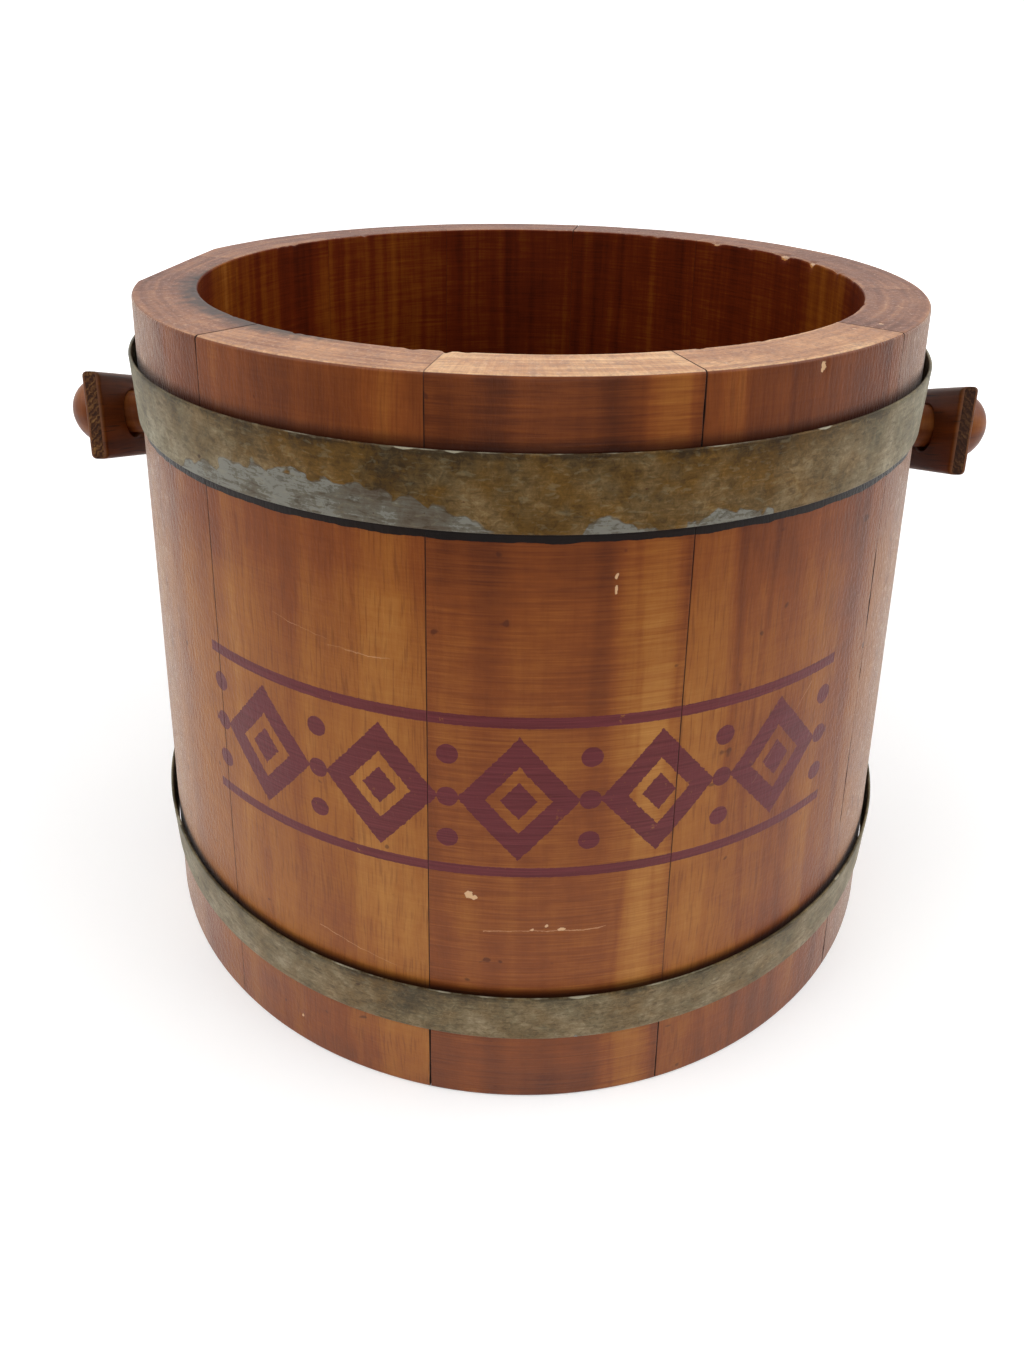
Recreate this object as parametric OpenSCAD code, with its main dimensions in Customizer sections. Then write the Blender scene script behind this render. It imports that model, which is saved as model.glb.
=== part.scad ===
// Stave-built wooden firkin: a bucket wider at the base than at the rim, bound by
// two steel hoops, with a bent wooden bail that swings on two side pegs.
// Millimetres, +Z up, origin on the axis at the foot of the staves, front at -Y.
// Angles round the bucket start at the front and grow towards +X.

/* [Bucket] */
// Outer radius at the rim
rim_r = 105; // [85:0.5:126]
// Outer radius at the foot
base_r = 129.2; // [112:0.2:160]
// Height from foot to rim
bucket_h = 193.2; // [150:0.2:260]
// Wall thickness, measured level
wall = 15.8; // [11:0.1:20]

/* [Staves] */
// First joint that faces the front, as an angle
front_joint_1 = -41; // [-52:0.5:-30]
// Second joint
front_joint_2 = -10.5; // [-22:0.5:0]
// Third joint
front_joint_3 = 18.5; // [8:0.5:30]
// Fourth joint
front_joint_4 = 51; // [40:0.5:62]
// Ease along the rim's and the foot's outer and inner edges
edge_ease = 0.8; // [0.2:0.1:2]

/* [Bottom] */
// Height of the bottom boards above the foot
chime = 11; // [6:0.5:20]
// Thickness of the bottom boards
bottom_t = 12; // [8:0.5:18]
// Depth of the groove that holds the bottom boards
groove_depth = 4; // [2.5:0.5:6]
// Width of the middle board
middle_board_w = 84; // [50:1:120]
// Room left round the bottom boards in their groove
bottom_play = 0.3; // [0.1:0.1:0.6]

/* [Hoops] */
// Width of each hoop band
hoop_w = 16; // [10:0.5:22]
// Thickness of the band
hoop_t = 0.8; // [0.5:0.1:1.5]
// Top edge of the upper hoop, down from the rim
upper_hoop_drop = 13.4; // [4:0.2:16]
// Lower edge of the lower hoop, up from the foot
lower_hoop_rise = 24.2; // [8:0.2:50]
// Gap between each band's lower edge and the wall that it is driven onto
hoop_seat = 0.1; // [0.05:0.05:0.3]
// How far each band's top edge leans in towards the wall
hoop_lean = 1; // [0:0.1:1.6]
// Length of the lap where each band's ends are riveted, at the back
lap_len = 36; // [30:1:50]
// Metal filed off each edge of the lapped end
lap_file = 0.4; // [0.2:0.1:1]
// Distance between the two rivets of a lap
rivet_pitch = 18; // [12:1:20]
// Radius of a rivet's shank
rivet_r = 1.6; // [1:0.1:2]
// Radius of a rivet's head
rivet_head_r = 3.2; // [2.4:0.1:4]
// Height of a rivet's head
rivet_head_h = 1.4; // [0.8:0.1:2]

/* [Pegs] */
// Gap between the upper hoop's lower edge and the pegs
peg_hoop_gap = 5.5; // [1:0.2:30]
// Radius of a peg's shank
peg_r = 6.2; // [5:0.1:7]
// Wood left between a peg's end and the inside of the bucket
peg_blind = 2.6; // [1.5:0.1:4]
// Radius of a peg's button head
peg_head_r = 10; // [8.5:0.5:12]
// Height of the straight side of the head
peg_head_side = 4.9; // [1:0.1:6]
// Height of the head's dome
peg_head_dome = 7.6; // [3:0.2:8]

/* [Bail] */
// Width of the bent strip
bail_w = 24; // [18:0.5:30]
// Thickness of the strip
bail_t = 5; // [4:0.1:7]
// Gap between the wall and the strip at the pegs
bail_side_gap = 11; // [8:0.5:16]
// Distance of the bow's centre behind the pegs
bow_set_back = 5; // [2:0.5:30]
// Length of each arm past its peg
bail_end = 21; // [15:0.5:26]
// Height of the bail's holes above the middle line of the strip
hole_off_centre = 1.2; // [0:0.1:3]
// Radial clearance of the pegs in the bail's holes
peg_clearance = 0.1; // [0.05:0.01:0.1]
// Gap between the bail and the wall or the peg heads that it lies against
bail_rest_gap = 0.3; // [0.2:0.1:1]

/* [Hidden] */
stave_names = [for (i = [1:12]) str("stave_", i < 10 ? "0" : "", i)];

$fn = 180;
cut_past = 1;
back_angle = 180;

stave_colors = ["#8a5a3c", "#7a3e22", "#93572f", "#85543a"];
end_grain_color = "#9c6b45";
hoop_color = "#8a8365";
rivet_color = "#777263";
peg_color = "#83522f";
bail_color = "#4a2815";

// The wall leans out as it goes down, by this much a millimetre
flare = (base_r - rim_r) / bucket_h;
function wall_r(z) = base_r - flare * z;
function inner_r(z) = wall_r(z) - wall;

// Staves: three stand between the four front joints, and the rest share what is left
front_joints = [front_joint_1, front_joint_2, front_joint_3, front_joint_4];
stave_count = len(stave_names);
front_staves = len(front_joints) - 1;
back_share = (360 - front_joints[front_staves] + front_joints[0]) / (stave_count - front_staves);
function joint_angle(i) = i <= front_staves
    ? front_joints[i]
    : front_joints[front_staves] + (i - front_staves) * back_share;

groove_h = bottom_t + bottom_play;
groove_r = inner_r(chime) + groove_depth;
bottom_r = groove_r - bottom_play;

upper_hoop_z = bucket_h - upper_hoop_drop - hoop_w;
lower_hoop_z = lower_hoop_rise;
function hoop_r(z) = wall_r(z) + hoop_seat;

peg_z = upper_hoop_z - peg_hoop_gap - peg_r;
peg_seat_r = inner_r(peg_z) + peg_blind;
peg_head_h = peg_head_side + peg_head_dome;

// Bail: the bow is a half circle whose ends run on as straight arms past the pegs
bail_inner_r = wall_r(peg_z) + bail_side_gap;
bail_outer_r = bail_inner_r + bail_t;
bow_reach = bow_set_back + bail_inner_r;
peg_head_x = bail_outer_r + bail_rest_gap;

// At rest the bow's lower inner edge lies against the back wall. The strip's edge is at
// y = reach cos(t) - low sin(t) and z = peg_z - reach sin(t) - low cos(t), and setting
// that y to the wall's radius at that z gives level cos(t) - fall sin(t) = rest_r.
low_half = bail_w / 2 + hole_off_centre;
rest_r = wall_r(peg_z) + bail_rest_gap;
rest_level = bow_reach - flare * low_half;
rest_fall = low_half + flare * bow_reach;
rest_tilt = acos(rest_r / norm([rest_level, rest_fall])) - atan2(rest_fall, rest_level);

// Cross-section of the wall, with the groove for the bottom boards
module wall_section() {
    polygon([
        [inner_r(0) + edge_ease, 0],
        [wall_r(0) - edge_ease, 0],
        [wall_r(edge_ease), edge_ease],
        [wall_r(bucket_h - edge_ease), bucket_h - edge_ease],
        [rim_r - edge_ease, bucket_h],
        [inner_r(bucket_h) + edge_ease, bucket_h],
        [inner_r(bucket_h - edge_ease), bucket_h - edge_ease],
        [inner_r(chime + groove_h), chime + groove_h],
        [groove_r, chime + groove_h],
        [groove_r, chime],
        [inner_r(chime), chime],
        [inner_r(edge_ease), edge_ease]
    ]);
}

// Blind holes for the pegs, on both sides
module peg_holes() {
    for (side = [-1, 1])
        translate([side * peg_seat_r, 0, peg_z])
            rotate([0, side * 90, 0])
                cylinder(r = peg_r, h = wall + cut_past);
}

// One stave, from its joint to the next
module stave(i) {
    start = joint_angle(i - 1);
    color(stave_colors[i % len(stave_colors)])
        difference() {
            rotate([0, 0, start - 90])
                rotate_extrude(angle = joint_angle(i) - start)
                    wall_section();
            peg_holes();
        }
}

// The round bottom, cut to one board between two straight joints
module bottom_board(x_from, x_to) {
    color(end_grain_color)
        intersection() {
            translate([0, 0, chime])
                cylinder(r = bottom_r, h = bottom_t);
            translate([x_from, -bottom_r - cut_past, chime])
                cube([x_to - x_from, 2 * (bottom_r + cut_past), bottom_t]);
        }
}

module bottom_board_left() {
    bottom_board(-bottom_r - cut_past, -middle_board_w / 2);
}

module bottom_board_middle() {
    bottom_board(-middle_board_w / 2, middle_board_w / 2);
}

module bottom_board_right() {
    bottom_board(middle_board_w / 2, bottom_r + cut_past);
}

// Puts its children on each rivet of a lap, with +Z pointing out of the bucket
module at_rivets(z) {
    r = hoop_r(z) - hoop_lean / 2;
    half_angle = rivet_pitch / 2 / r * 180 / PI;
    for (side = [-1, 1])
        rotate([0, 0, back_angle - 90 + side * half_angle])
            translate([r, 0, z + hoop_w / 2])
                rotate([0, 90 - atan(hoop_lean / hoop_w), 0])
                    children();
}

// Section of a band between two depths and two heights, leaning in as it rises
module band_section(inner, outer, low, high) {
    lean = hoop_lean / hoop_w;
    polygon([
        [inner - lean * low, low],
        [outer - lean * low, low],
        [outer - lean * high, high],
        [inner - lean * high, high]
    ]);
}

// A band driven onto the flared wall, steeper than the wall, with its outer end lapped over.
// The lap is drawn from the band's mid-thickness, so that the two are one piece.
module hoop(z) {
    r = hoop_r(z);
    lap_angle = lap_len / r * 180 / PI;
    color(hoop_color)
        difference() {
            union() {
                translate([0, 0, z])
                    rotate_extrude()
                        translate([r, 0])
                            band_section(0, hoop_t, 0, hoop_w);
                translate([0, 0, z])
                    rotate([0, 0, back_angle - 90 - lap_angle / 2])
                        rotate_extrude(angle = lap_angle)
                            translate([r, 0])
                                band_section(hoop_t / 2, 2 * hoop_t, lap_file, hoop_w - lap_file);
            }
            at_rivets(z)
                translate([0, 0, -cut_past])
                    cylinder(r = rivet_r, h = 2 * hoop_t + 2 * cut_past);
        }
}

module upper_hoop() {
    hoop(upper_hoop_z);
}

module lower_hoop() {
    hoop(lower_hoop_z);
}

// A rivet's round head is a slice of a ball
module rivet() {
    ball_r = (rivet_head_r * rivet_head_r + rivet_head_h * rivet_head_h) / (2 * rivet_head_h);
    cylinder(r = rivet_r, h = 2 * hoop_t + rivet_head_h / 2);
    translate([0, 0, 2 * hoop_t])
        intersection() {
            cylinder(r = rivet_head_r, h = rivet_head_h);
            translate([0, 0, rivet_head_h - ball_r])
                sphere(r = ball_r);
        }
}

module upper_hoop_rivets() {
    color(rivet_color)
        at_rivets(upper_hoop_z)
            rivet();
}

module lower_hoop_rivets() {
    color(rivet_color)
        at_rivets(lower_hoop_z)
            rivet();
}

// A turned peg: the shank is glued into the wall, and the domed head keeps the bail on
module peg(side) {
    ball_r = (peg_head_r * peg_head_r + peg_head_dome * peg_head_dome) / (2 * peg_head_dome);
    shank = peg_head_x - peg_seat_r;
    color(peg_color)
        translate([side * peg_seat_r, 0, peg_z])
            rotate([0, side * 90, 0]) {
                cylinder(r = peg_r, h = shank + peg_head_side / 2);
                translate([0, 0, shank])
                    intersection() {
                        cylinder(r = peg_head_r, h = peg_head_h);
                        translate([0, 0, peg_head_h - ball_r])
                            sphere(r = ball_r);
                    }
            }
}

module left_peg() {
    peg(-1);
}

module right_peg() {
    peg(1);
}

// Outline of a bow of radius r with its arms, seen square to the bail's own plane
module bow_outline(r, arm) {
    translate([0, bow_set_back])
        circle(r = r);
    translate([-r, -arm])
        square([2 * r, arm + bow_set_back]);
}

// The bent strip, folded back until it lies against the back of the bucket
module handle() {
    color(bail_color)
        translate([0, 0, peg_z])
            rotate([-rest_tilt, 0, 0])
                difference() {
                    translate([0, 0, -low_half])
                        linear_extrude(height = bail_w)
                            difference() {
                                intersection() {
                                    bow_outline(bail_outer_r, bail_end);
                                    translate([-bail_outer_r, -bail_end])
                                        square([2 * bail_outer_r, 3 * bail_outer_r]);
                                }
                                bow_outline(bail_inner_r, 2 * bail_outer_r);
                            }
                    translate([-bail_outer_r - cut_past, 0, 0])
                        rotate([0, 90, 0])
                            cylinder(r = peg_r + peg_clearance, h = 2 * (bail_outer_r + cut_past));
                }
}

for (i = [1:stave_count])
    stave(i);
bottom_board_left();
bottom_board_middle();
bottom_board_right();
upper_hoop();
lower_hoop();
upper_hoop_rivets();
lower_hoop_rivets();
left_peg();
right_peg();
handle();
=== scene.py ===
import math

import bpy
import numpy as np
from mathutils import Matrix, Vector


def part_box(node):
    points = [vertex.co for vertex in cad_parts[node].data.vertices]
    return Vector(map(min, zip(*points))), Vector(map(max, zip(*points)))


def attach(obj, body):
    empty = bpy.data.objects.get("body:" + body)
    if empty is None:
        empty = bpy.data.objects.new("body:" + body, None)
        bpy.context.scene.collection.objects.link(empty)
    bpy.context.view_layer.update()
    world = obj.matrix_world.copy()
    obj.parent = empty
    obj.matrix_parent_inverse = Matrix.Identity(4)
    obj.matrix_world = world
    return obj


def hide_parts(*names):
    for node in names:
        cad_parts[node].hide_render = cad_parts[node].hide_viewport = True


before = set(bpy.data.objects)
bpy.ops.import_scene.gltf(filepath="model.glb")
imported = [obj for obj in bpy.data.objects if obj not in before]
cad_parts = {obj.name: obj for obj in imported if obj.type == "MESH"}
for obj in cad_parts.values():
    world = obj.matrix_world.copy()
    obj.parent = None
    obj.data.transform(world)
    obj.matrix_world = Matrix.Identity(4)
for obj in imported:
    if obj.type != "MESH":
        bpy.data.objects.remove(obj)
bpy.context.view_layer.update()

# Azimuths are counted from the front, which is -Y, and grow towards +X.
MM = 0.001
TURN = 2 * math.pi
WELD = 1e-7

# Sizes of the bucket, in metres
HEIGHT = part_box("stave_01")[1].z
BASE_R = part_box("stave_05")[1].x
RIM_R = 105 * MM
WALL = 15.8 * MM
FLARE = (BASE_R - RIM_R) / HEIGHT
MEAN_R = (BASE_R + RIM_R) / 2
STAVES = 12
FRONT_JOINTS = [-41, -10.5, 18.5, 51]
RIM_EASE = 0.8 * MM
JOINT_EASE = 0.1 * MM
# Flat worn across the rim: its azimuth, distance from the axis and lowest height
RIM_FLAT_AT = -93.5
RIM_FLAT_R = 101.4 * MM
RIM_FLAT_LOW = HEIGHT - 13 * MM

# The bottom boards and their groove
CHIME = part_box("bottom_board_middle")[0].z
BOTTOM_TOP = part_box("bottom_board_middle")[1].z
GROOVE_DEEP = 4 * MM
GROOVE_PLAY = 0.3 * MM
BOARD_EASE = 0.3 * MM
MIDDLE_BOARD_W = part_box("bottom_board_middle")[1].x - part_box("bottom_board_middle")[0].x
BOTTOM_R = (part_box("bottom_board_middle")[1].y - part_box("bottom_board_middle")[0].y) / 2

# Hoops: flat strip, its ends lapped at the back and riveted
HOOP_T = 0.8 * MM
HOOP_LEAN = 1 * MM
LAP = 36 * MM
LAP_RAMP = 7 * MM
LAP_CORNER = 3 * MM
LAP_AIR = 0.03 * MM
RIVET_PITCH = 18 * MM
RIVET_R = 1.5 * MM
RIVET_HEAD_R = 3.2 * MM
RIVET_HEAD_H = 1.4 * MM

# Pegs
PEG_X = (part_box("right_peg")[0].x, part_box("right_peg")[1].x)
PEG_Z = (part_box("right_peg")[0].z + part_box("right_peg")[1].z) / 2
PEG_R = 6.2 * MM
PEG_HEAD_R = (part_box("right_peg")[1].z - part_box("right_peg")[0].z) / 2
PEG_HEAD_SIDE = 4.9 * MM
PEG_HEAD_DOME = 7.6 * MM
PEG_NECK = 0.8 * MM
PEG_GROOVE = 0.05 * MM
PEG_GROOVE_PITCH = 1.9 * MM
PEG_RING = 0.045 * MM

# Bail: a half round bow with straight arms, folded back against the wall
BAIL_W = 24 * MM
BAIL_T = 5 * MM
BAIL_OUTER_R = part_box("handle")[1].x
BAIL_MID_R = BAIL_OUTER_R - BAIL_T / 2
BOW_SET_BACK = 5 * MM
BAIL_END = 21 * MM
HOLE_OFF_CENTRE = 1.2 * MM
BAIL_EDGE = 1.3 * MM
BAIL_END_EASE = 0.9 * MM
EDGE_RUB = 1.2 * MM
BAIL_HOLE_R = 6.9 * MM
HOLE_LIP = 0.5 * MM
HOLE_PLAY = 0.05 * MM
REST_GAP = 0.3 * MM


# Geometry

def hexed(code):
    """An sRGB hex colour as linear red, green, blue and alpha."""
    parts = [int(code[i:i + 2], 16) / 255 for i in (1, 3, 5)]
    return tuple(c / 12.92 if c <= 0.04045 else ((c + 0.055) / 1.055) ** 2.4 for c in parts) + (1.0,)


def wall_r(z):
    """Outer radius of the wall at a height: it falls evenly from the foot to the rim."""
    return BASE_R - FLARE * z


def polar(angle, radius, z):
    """Points at an azimuth, a radius and a height."""
    return np.stack(np.broadcast_arrays(radius * np.sin(angle), -radius * np.cos(angle), z), -1)


def ripple(points, size, seed):
    """Smooth unevenness between about -1 and 1: the sum of waves that run in random directions."""
    draw = np.random.default_rng(seed)
    total = np.zeros(points.shape[:-1])
    waves = 10
    for _ in range(waves):
        way = draw.normal(size=3)
        way /= np.linalg.norm(way)
        total += np.sin(points @ way * TURN / (size * draw.uniform(0.6, 1.7)) + draw.uniform(0, TURN))
    return total * 1.5 / waves


def bump_at(x, centre, half):
    """A bell curve that is 1 at the centre and a third at the half width."""
    return np.exp(-((x - centre) / half) ** 2)


def off(degrees, azimuth):
    """How far an angle lies from an azimuth, by the shorter way round, in degrees."""
    return (degrees - azimuth + 180) % 360 - 180


def under(depth, reach):
    """1 on a face, and evenly down to 0 at a reach under it."""
    return np.clip(1 - depth / reach, 0, 1)


def smooth(x, low, high):
    """0 below low, 1 above high and an S curve between."""
    t = np.clip((x - low) / (high - low), 0, 1)
    return t * t * (3 - 2 * t)


def steps(length, pitch, ends):
    """Places from 0 to length: close ones near both ends, and even ones about a pitch apart between."""
    inner = np.linspace(ends[-1], length - ends[-1], max(2, round((length - 2 * ends[-1]) / pitch)))
    return np.concatenate([ends[:-1], inner, length - np.array(ends[:-1])[::-1]])


def eased(x, y, radius):
    """Moves that round the edge between two faces. x and y are a surface point's depths under them, and the
    points within a radius of the edge move onto a quarter circle."""
    near = (np.maximum(x, y) < radius) * under(np.minimum(x, y), radius)
    turn = (1 + (x - y) / radius) * math.pi / 4
    return near * (radius * (1 - np.cos(turn)) - x), near * (radius * (1 - np.sin(turn)) - y)


def sheet(points, uv, slot=0, flip=False, **marks):
    """One grid of quads: its points, its pattern coordinates in metres, its material's place, and its
    marks."""
    order = slice(None, None, -1 if flip else 1)
    uv = np.broadcast_to(np.stack(np.broadcast_arrays(*uv), -1), points.shape[:-1] + (2,))
    marks = {name: np.broadcast_to(value, points.shape[:-1])[order] for name, value in marks.items()}
    return {"points": points[order], "uv": uv[order], "slot": slot, "marks": marks}


def quads_of(rows, columns, start=0):
    """Corners of the quads of a grid of points, counted from a start."""
    index = start + np.arange(rows * columns).reshape(rows, columns)
    return np.stack([index[:-1, :-1], index[1:, :-1], index[1:, 1:], index[:-1, 1:]], -1).reshape(-1, 4)


def shown(name, data):
    """A new object in the scene."""
    made = bpy.data.objects.new(name, data)
    bpy.context.scene.collection.objects.link(made)
    return made


def make_piece(name, sheets, materials, body, nodes, sharp=35):
    """Welds the sheets where they meet, and makes one object of them that stands for its nodes."""
    corners = []
    start = 0
    for s in sheets:
        rows, columns = s["points"].shape[:2]
        corners.append(quads_of(rows, columns, start))
        start += rows * columns
    points = np.concatenate([s["points"].reshape(-1, 3) for s in sheets])
    uv = np.concatenate([s["uv"].reshape(-1, 2) for s in sheets])
    slots = np.concatenate([np.full(len(c), s["slot"]) for c, s in zip(corners, sheets)])
    corners = np.concatenate(corners)
    _, first, where = np.unique(
        np.round(points / WELD).astype(np.int64), axis=0, return_index=True, return_inverse=True
    )
    welded = where.reshape(-1)[corners]
    same = welded == np.roll(welded, -1, axis=1)
    count = same.sum(1)
    crossed = (welded[:, 0] == welded[:, 2]) | (welded[:, 1] == welded[:, 3])
    quads = (count == 0) & ~crossed
    threes = count == 1
    keep = ~same[threes]
    faces = welded[quads].tolist() + welded[threes][keep].reshape(-1, 3).tolist()
    corner_of = np.concatenate([corners[quads].ravel(), corners[threes][keep]])
    mesh = bpy.data.meshes.new(name)
    mesh.from_pydata(points[first].tolist(), [], faces)
    mesh.uv_layers.new(name="pattern").data.foreach_set("uv", uv[corner_of].astype(np.float32).ravel())
    mesh.polygons.foreach_set("material_index",
                              np.concatenate([slots[quads], slots[threes]]).astype(np.int32))
    for mark in sorted({m for s in sheets for m in s["marks"]}):
        values = [s["marks"].get(mark, np.zeros(s["points"].shape[:2])).ravel() for s in sheets]
        layer = mesh.attributes.new(mark, "FLOAT", "POINT")
        layer.data.foreach_set("value", np.concatenate(values)[first].astype(np.float32))
    for material in materials:
        mesh.materials.append(material)
    mesh.shade_smooth()
    mesh.set_sharp_from_angle(angle=math.radians(sharp))
    mesh.update()
    piece = shown(name, mesh)
    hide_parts(*nodes)
    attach(piece, body)


# Materials

def feed(tree, node, *feeds, **named):
    """Gives a node's sockets their feeds, in order or by name. A feed is a value, a node or an output."""
    for name, value in (*enumerate(feeds), *named.items()):
        socket = node.inputs[name.replace("_", " ") if isinstance(name, str) else name]
        if hasattr(value, "outputs"):
            value = value.outputs[0]
        if isinstance(value, bpy.types.NodeSocket):
            tree.links.new(value, socket)
        else:
            socket.default_value = value


def put(tree, kind, *feeds, stops=(), **settings):
    """Adds a shader node. A kind in capitals is an operation of the Math node. Feeds go to its sockets in
    order. A setting with a capital goes to the socket of that name, stops go to its colour ramp, and any
    other setting is the node's own."""
    made = tree.nodes.new("ShaderNode" + ("Math" if kind.isupper() else kind))
    if kind.isupper():
        made.operation = kind
    for name, value in settings.items():
        if name[0].islower():
            setattr(made, name, value)
    feed(tree, made, *feeds, **{name: value for name, value in settings.items() if name[0].isupper()})
    if stops:
        ramp = made.color_ramp.elements
        while len(ramp) < len(stops):
            ramp.new(0.5)
        for element, (place, code) in zip(ramp, stops):
            element.position = place
            element.color = hexed(code)
    return made


def finish_of(name, **sockets):
    """A new material with its tree and its shader, and the piece's pattern coordinates in metres."""
    made = bpy.data.materials.new(name)
    made.use_nodes = True
    tree = made.node_tree
    tree.nodes.clear()
    shader = put(tree, "BsdfPrincipled", **sockets)
    put(tree, "OutputMaterial", shader)
    uv = put(tree, "UVMap", uv_map="pattern")
    return made, tree, shader, uv


def mark_of(tree, name):
    """A mark that the meshes carry."""
    return put(tree, "Attribute", attribute_name=name).outputs["Fac"]


def over(tree, below, mask, colour, low=0.0, high=1.0, most=None):
    """Lays a colour over another where the mask is 1. With a most, the mask first rises from 0 to it
    between a low and a high value."""
    if most is not None:
        mask = put(tree, "MapRange", mask, low, high, 0.0, most)
    return put(tree, "MixRGB", mask, below, hexed(colour) if isinstance(colour, str) else colour)


def summed(tree, *terms):
    """The sum of values, each of which may come as a pair with a factor."""
    total = 0.0
    for term in terms:
        value, factor = term if isinstance(term, tuple) else (term, 1.0)
        total = put(tree, "MULTIPLY_ADD", value, factor, total)
    return total


# How far the fibres sway, and how much streaks and tool lines are drawn out along themselves
FIBRE_SWAY = 4 * MM
DRAWN_OUT = 0.03


def wood_of(name, stops, fibre=0.6, stretch=0.055, streak=8.0, grain=0.1, tooling=0.06, blotch=0.2,
            relief=0.03, fleck=0.0, seam=(0.06, 0.22, 0.75), bare="#dcb488", **sockets):
    """Wood with fibres along v. Its tone, from dark to pale, is the mesh's tone mark with streaks, fibres,
    lines of the turning tool and blotches, whose sizes are in millimetres, and a ramp of stain colours
    takes that tone. Stain darkens its pores, dirt its joints, and bare wood shows in its scars."""
    made, tree, shader, uv = finish_of(name, **sockets)
    lot = mark_of(tree, "lot")
    axes = put(tree, "SeparateXYZ", uv).outputs
    drift = put(tree, "TexNoise", uv, Scale=22.0, Detail=2.0)
    swayed = put(tree, "MULTIPLY_ADD", drift, FIBRE_SWAY, axes[0])
    along = put(tree, "MULTIPLY", axes[1], stretch)
    fibre_place = put(tree, "CombineXYZ", swayed, along, lot)
    streak_place = put(tree, "CombineXYZ", swayed, put(tree, "MULTIPLY", axes[1], DRAWN_OUT), lot)
    level_place = put(tree, "CombineXYZ", put(tree, "MULTIPLY", axes[0], DRAWN_OUT), axes[1], lot)
    place = put(tree, "CombineXYZ", axes[0], axes[1], lot)
    fibres = put(tree, "TexNoise", fibre_place, Scale=1000 / fibre, Detail=4.0, Roughness=0.6)
    streaks = put(tree, "TexNoise", streak_place, Scale=1000 / streak, Detail=1.6, Roughness=0.5)
    tools = put(tree, "TexNoise", level_place, Scale=1000 / 0.6, Detail=3.0, Roughness=0.7)
    tooled = put(tree, "MULTIPLY", put(tree, "SUBTRACT", tools, 0.5), mark_of(tree, "tooled"))
    patches = put(tree, "TexNoise", place, Scale=1000 / 26, Detail=6.0, Roughness=0.66)
    # The tool's lines cut across the fibres and hide them
    open_grain = put(tree, "MapRange", mark_of(tree, "tooled"), 0.4, 1.5, 1.0, 0.2)
    fine = put(tree, "MULTIPLY", put(tree, "SUBTRACT", fibres, 0.5), open_grain)
    shares = ((streaks, 3.2 * grain), (patches, 2 * blotch))
    middle = sum(share for _, share in shares) / 2
    tone = summed(tree, mark_of(tree, "tone"), (fine, 1.4 * grain), *shares, (tooled, 2 * tooling))
    tone = put(tree, "SUBTRACT", tone, middle)
    colour = put(tree, "ValToRGB", tone, stops=stops)
    if fleck:
        pores = put(tree, "TexNoise", fibre_place, Scale=1000 / 0.55, Detail=1.0)
        pores = put(tree, "MapRange", pores, 0.54, 0.68, 0.0, fleck)
        colour = over(tree, colour, put(tree, "MULTIPLY", pores, open_grain), stops[1][1])
    near, far, depth = seam
    gathered = put(tree, "MapRange", patches, 0.35, 0.6, depth * 0.45, depth)
    dirt = put(tree, "MapRange", mark_of(tree, "seam"), near, far, gathered, 0.0)
    colour = over(tree, colour, dirt, stops[0][1])
    crumbs = put(tree, "TexNoise", place, Scale=1500.0, Detail=3.0)
    torn = summed(tree, mark_of(tree, "scar"), (crumbs, 0.6))
    colour = over(tree, colour, torn, bare, 0.78, 0.86, 0.9)
    shape = summed(tree, fibres, (tooled, 0.8))
    bump = put(tree, "Bump", Height=shape, Distance=relief * MM)
    feed(tree, shader, Base_Color=colour, Normal=bump)
    return made, tree, shader, {"axes": axes, "colour": colour, "place": place, "tools": tools,
                                "patches": patches, "fibre_place": fibre_place, "bump": bump}


# Stencil: height of its middle, half length, pitch and half sizes of the lozenges, dots and stripes
STENCIL_Z = 100.5 * MM
STENCIL_END = 87 * MM
LOZENGE_PITCH = 33.5 * MM
LOZENGE_HALF = (14.5 * MM, 17 * MM)
# Middle and half width of a lozenge's border, and the lozenge inside it, as shares of its half size
LOZENGE_BORDER = (0.77, 0.23)
LOZENGE_CORE = 0.3
# How far the paint's edge wanders
RAGGED = 4 * MM
DOT_R = 2.6 * MM
DOT_UP = 11.5 * MM
STRIPE_AT = 20.6 * MM
STRIPE_HALF = 1.4 * MM
UPPER_HOOP_Z = (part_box("upper_hoop")[0].z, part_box("upper_hoop")[1].z)
LOWER_HOOP_Z = (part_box("lower_hoop")[0].z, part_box("lower_hoop")[1].z)
# How far down the black ring painted under the upper hoop reaches
BLACK_RING = 2.0 * MM


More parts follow.
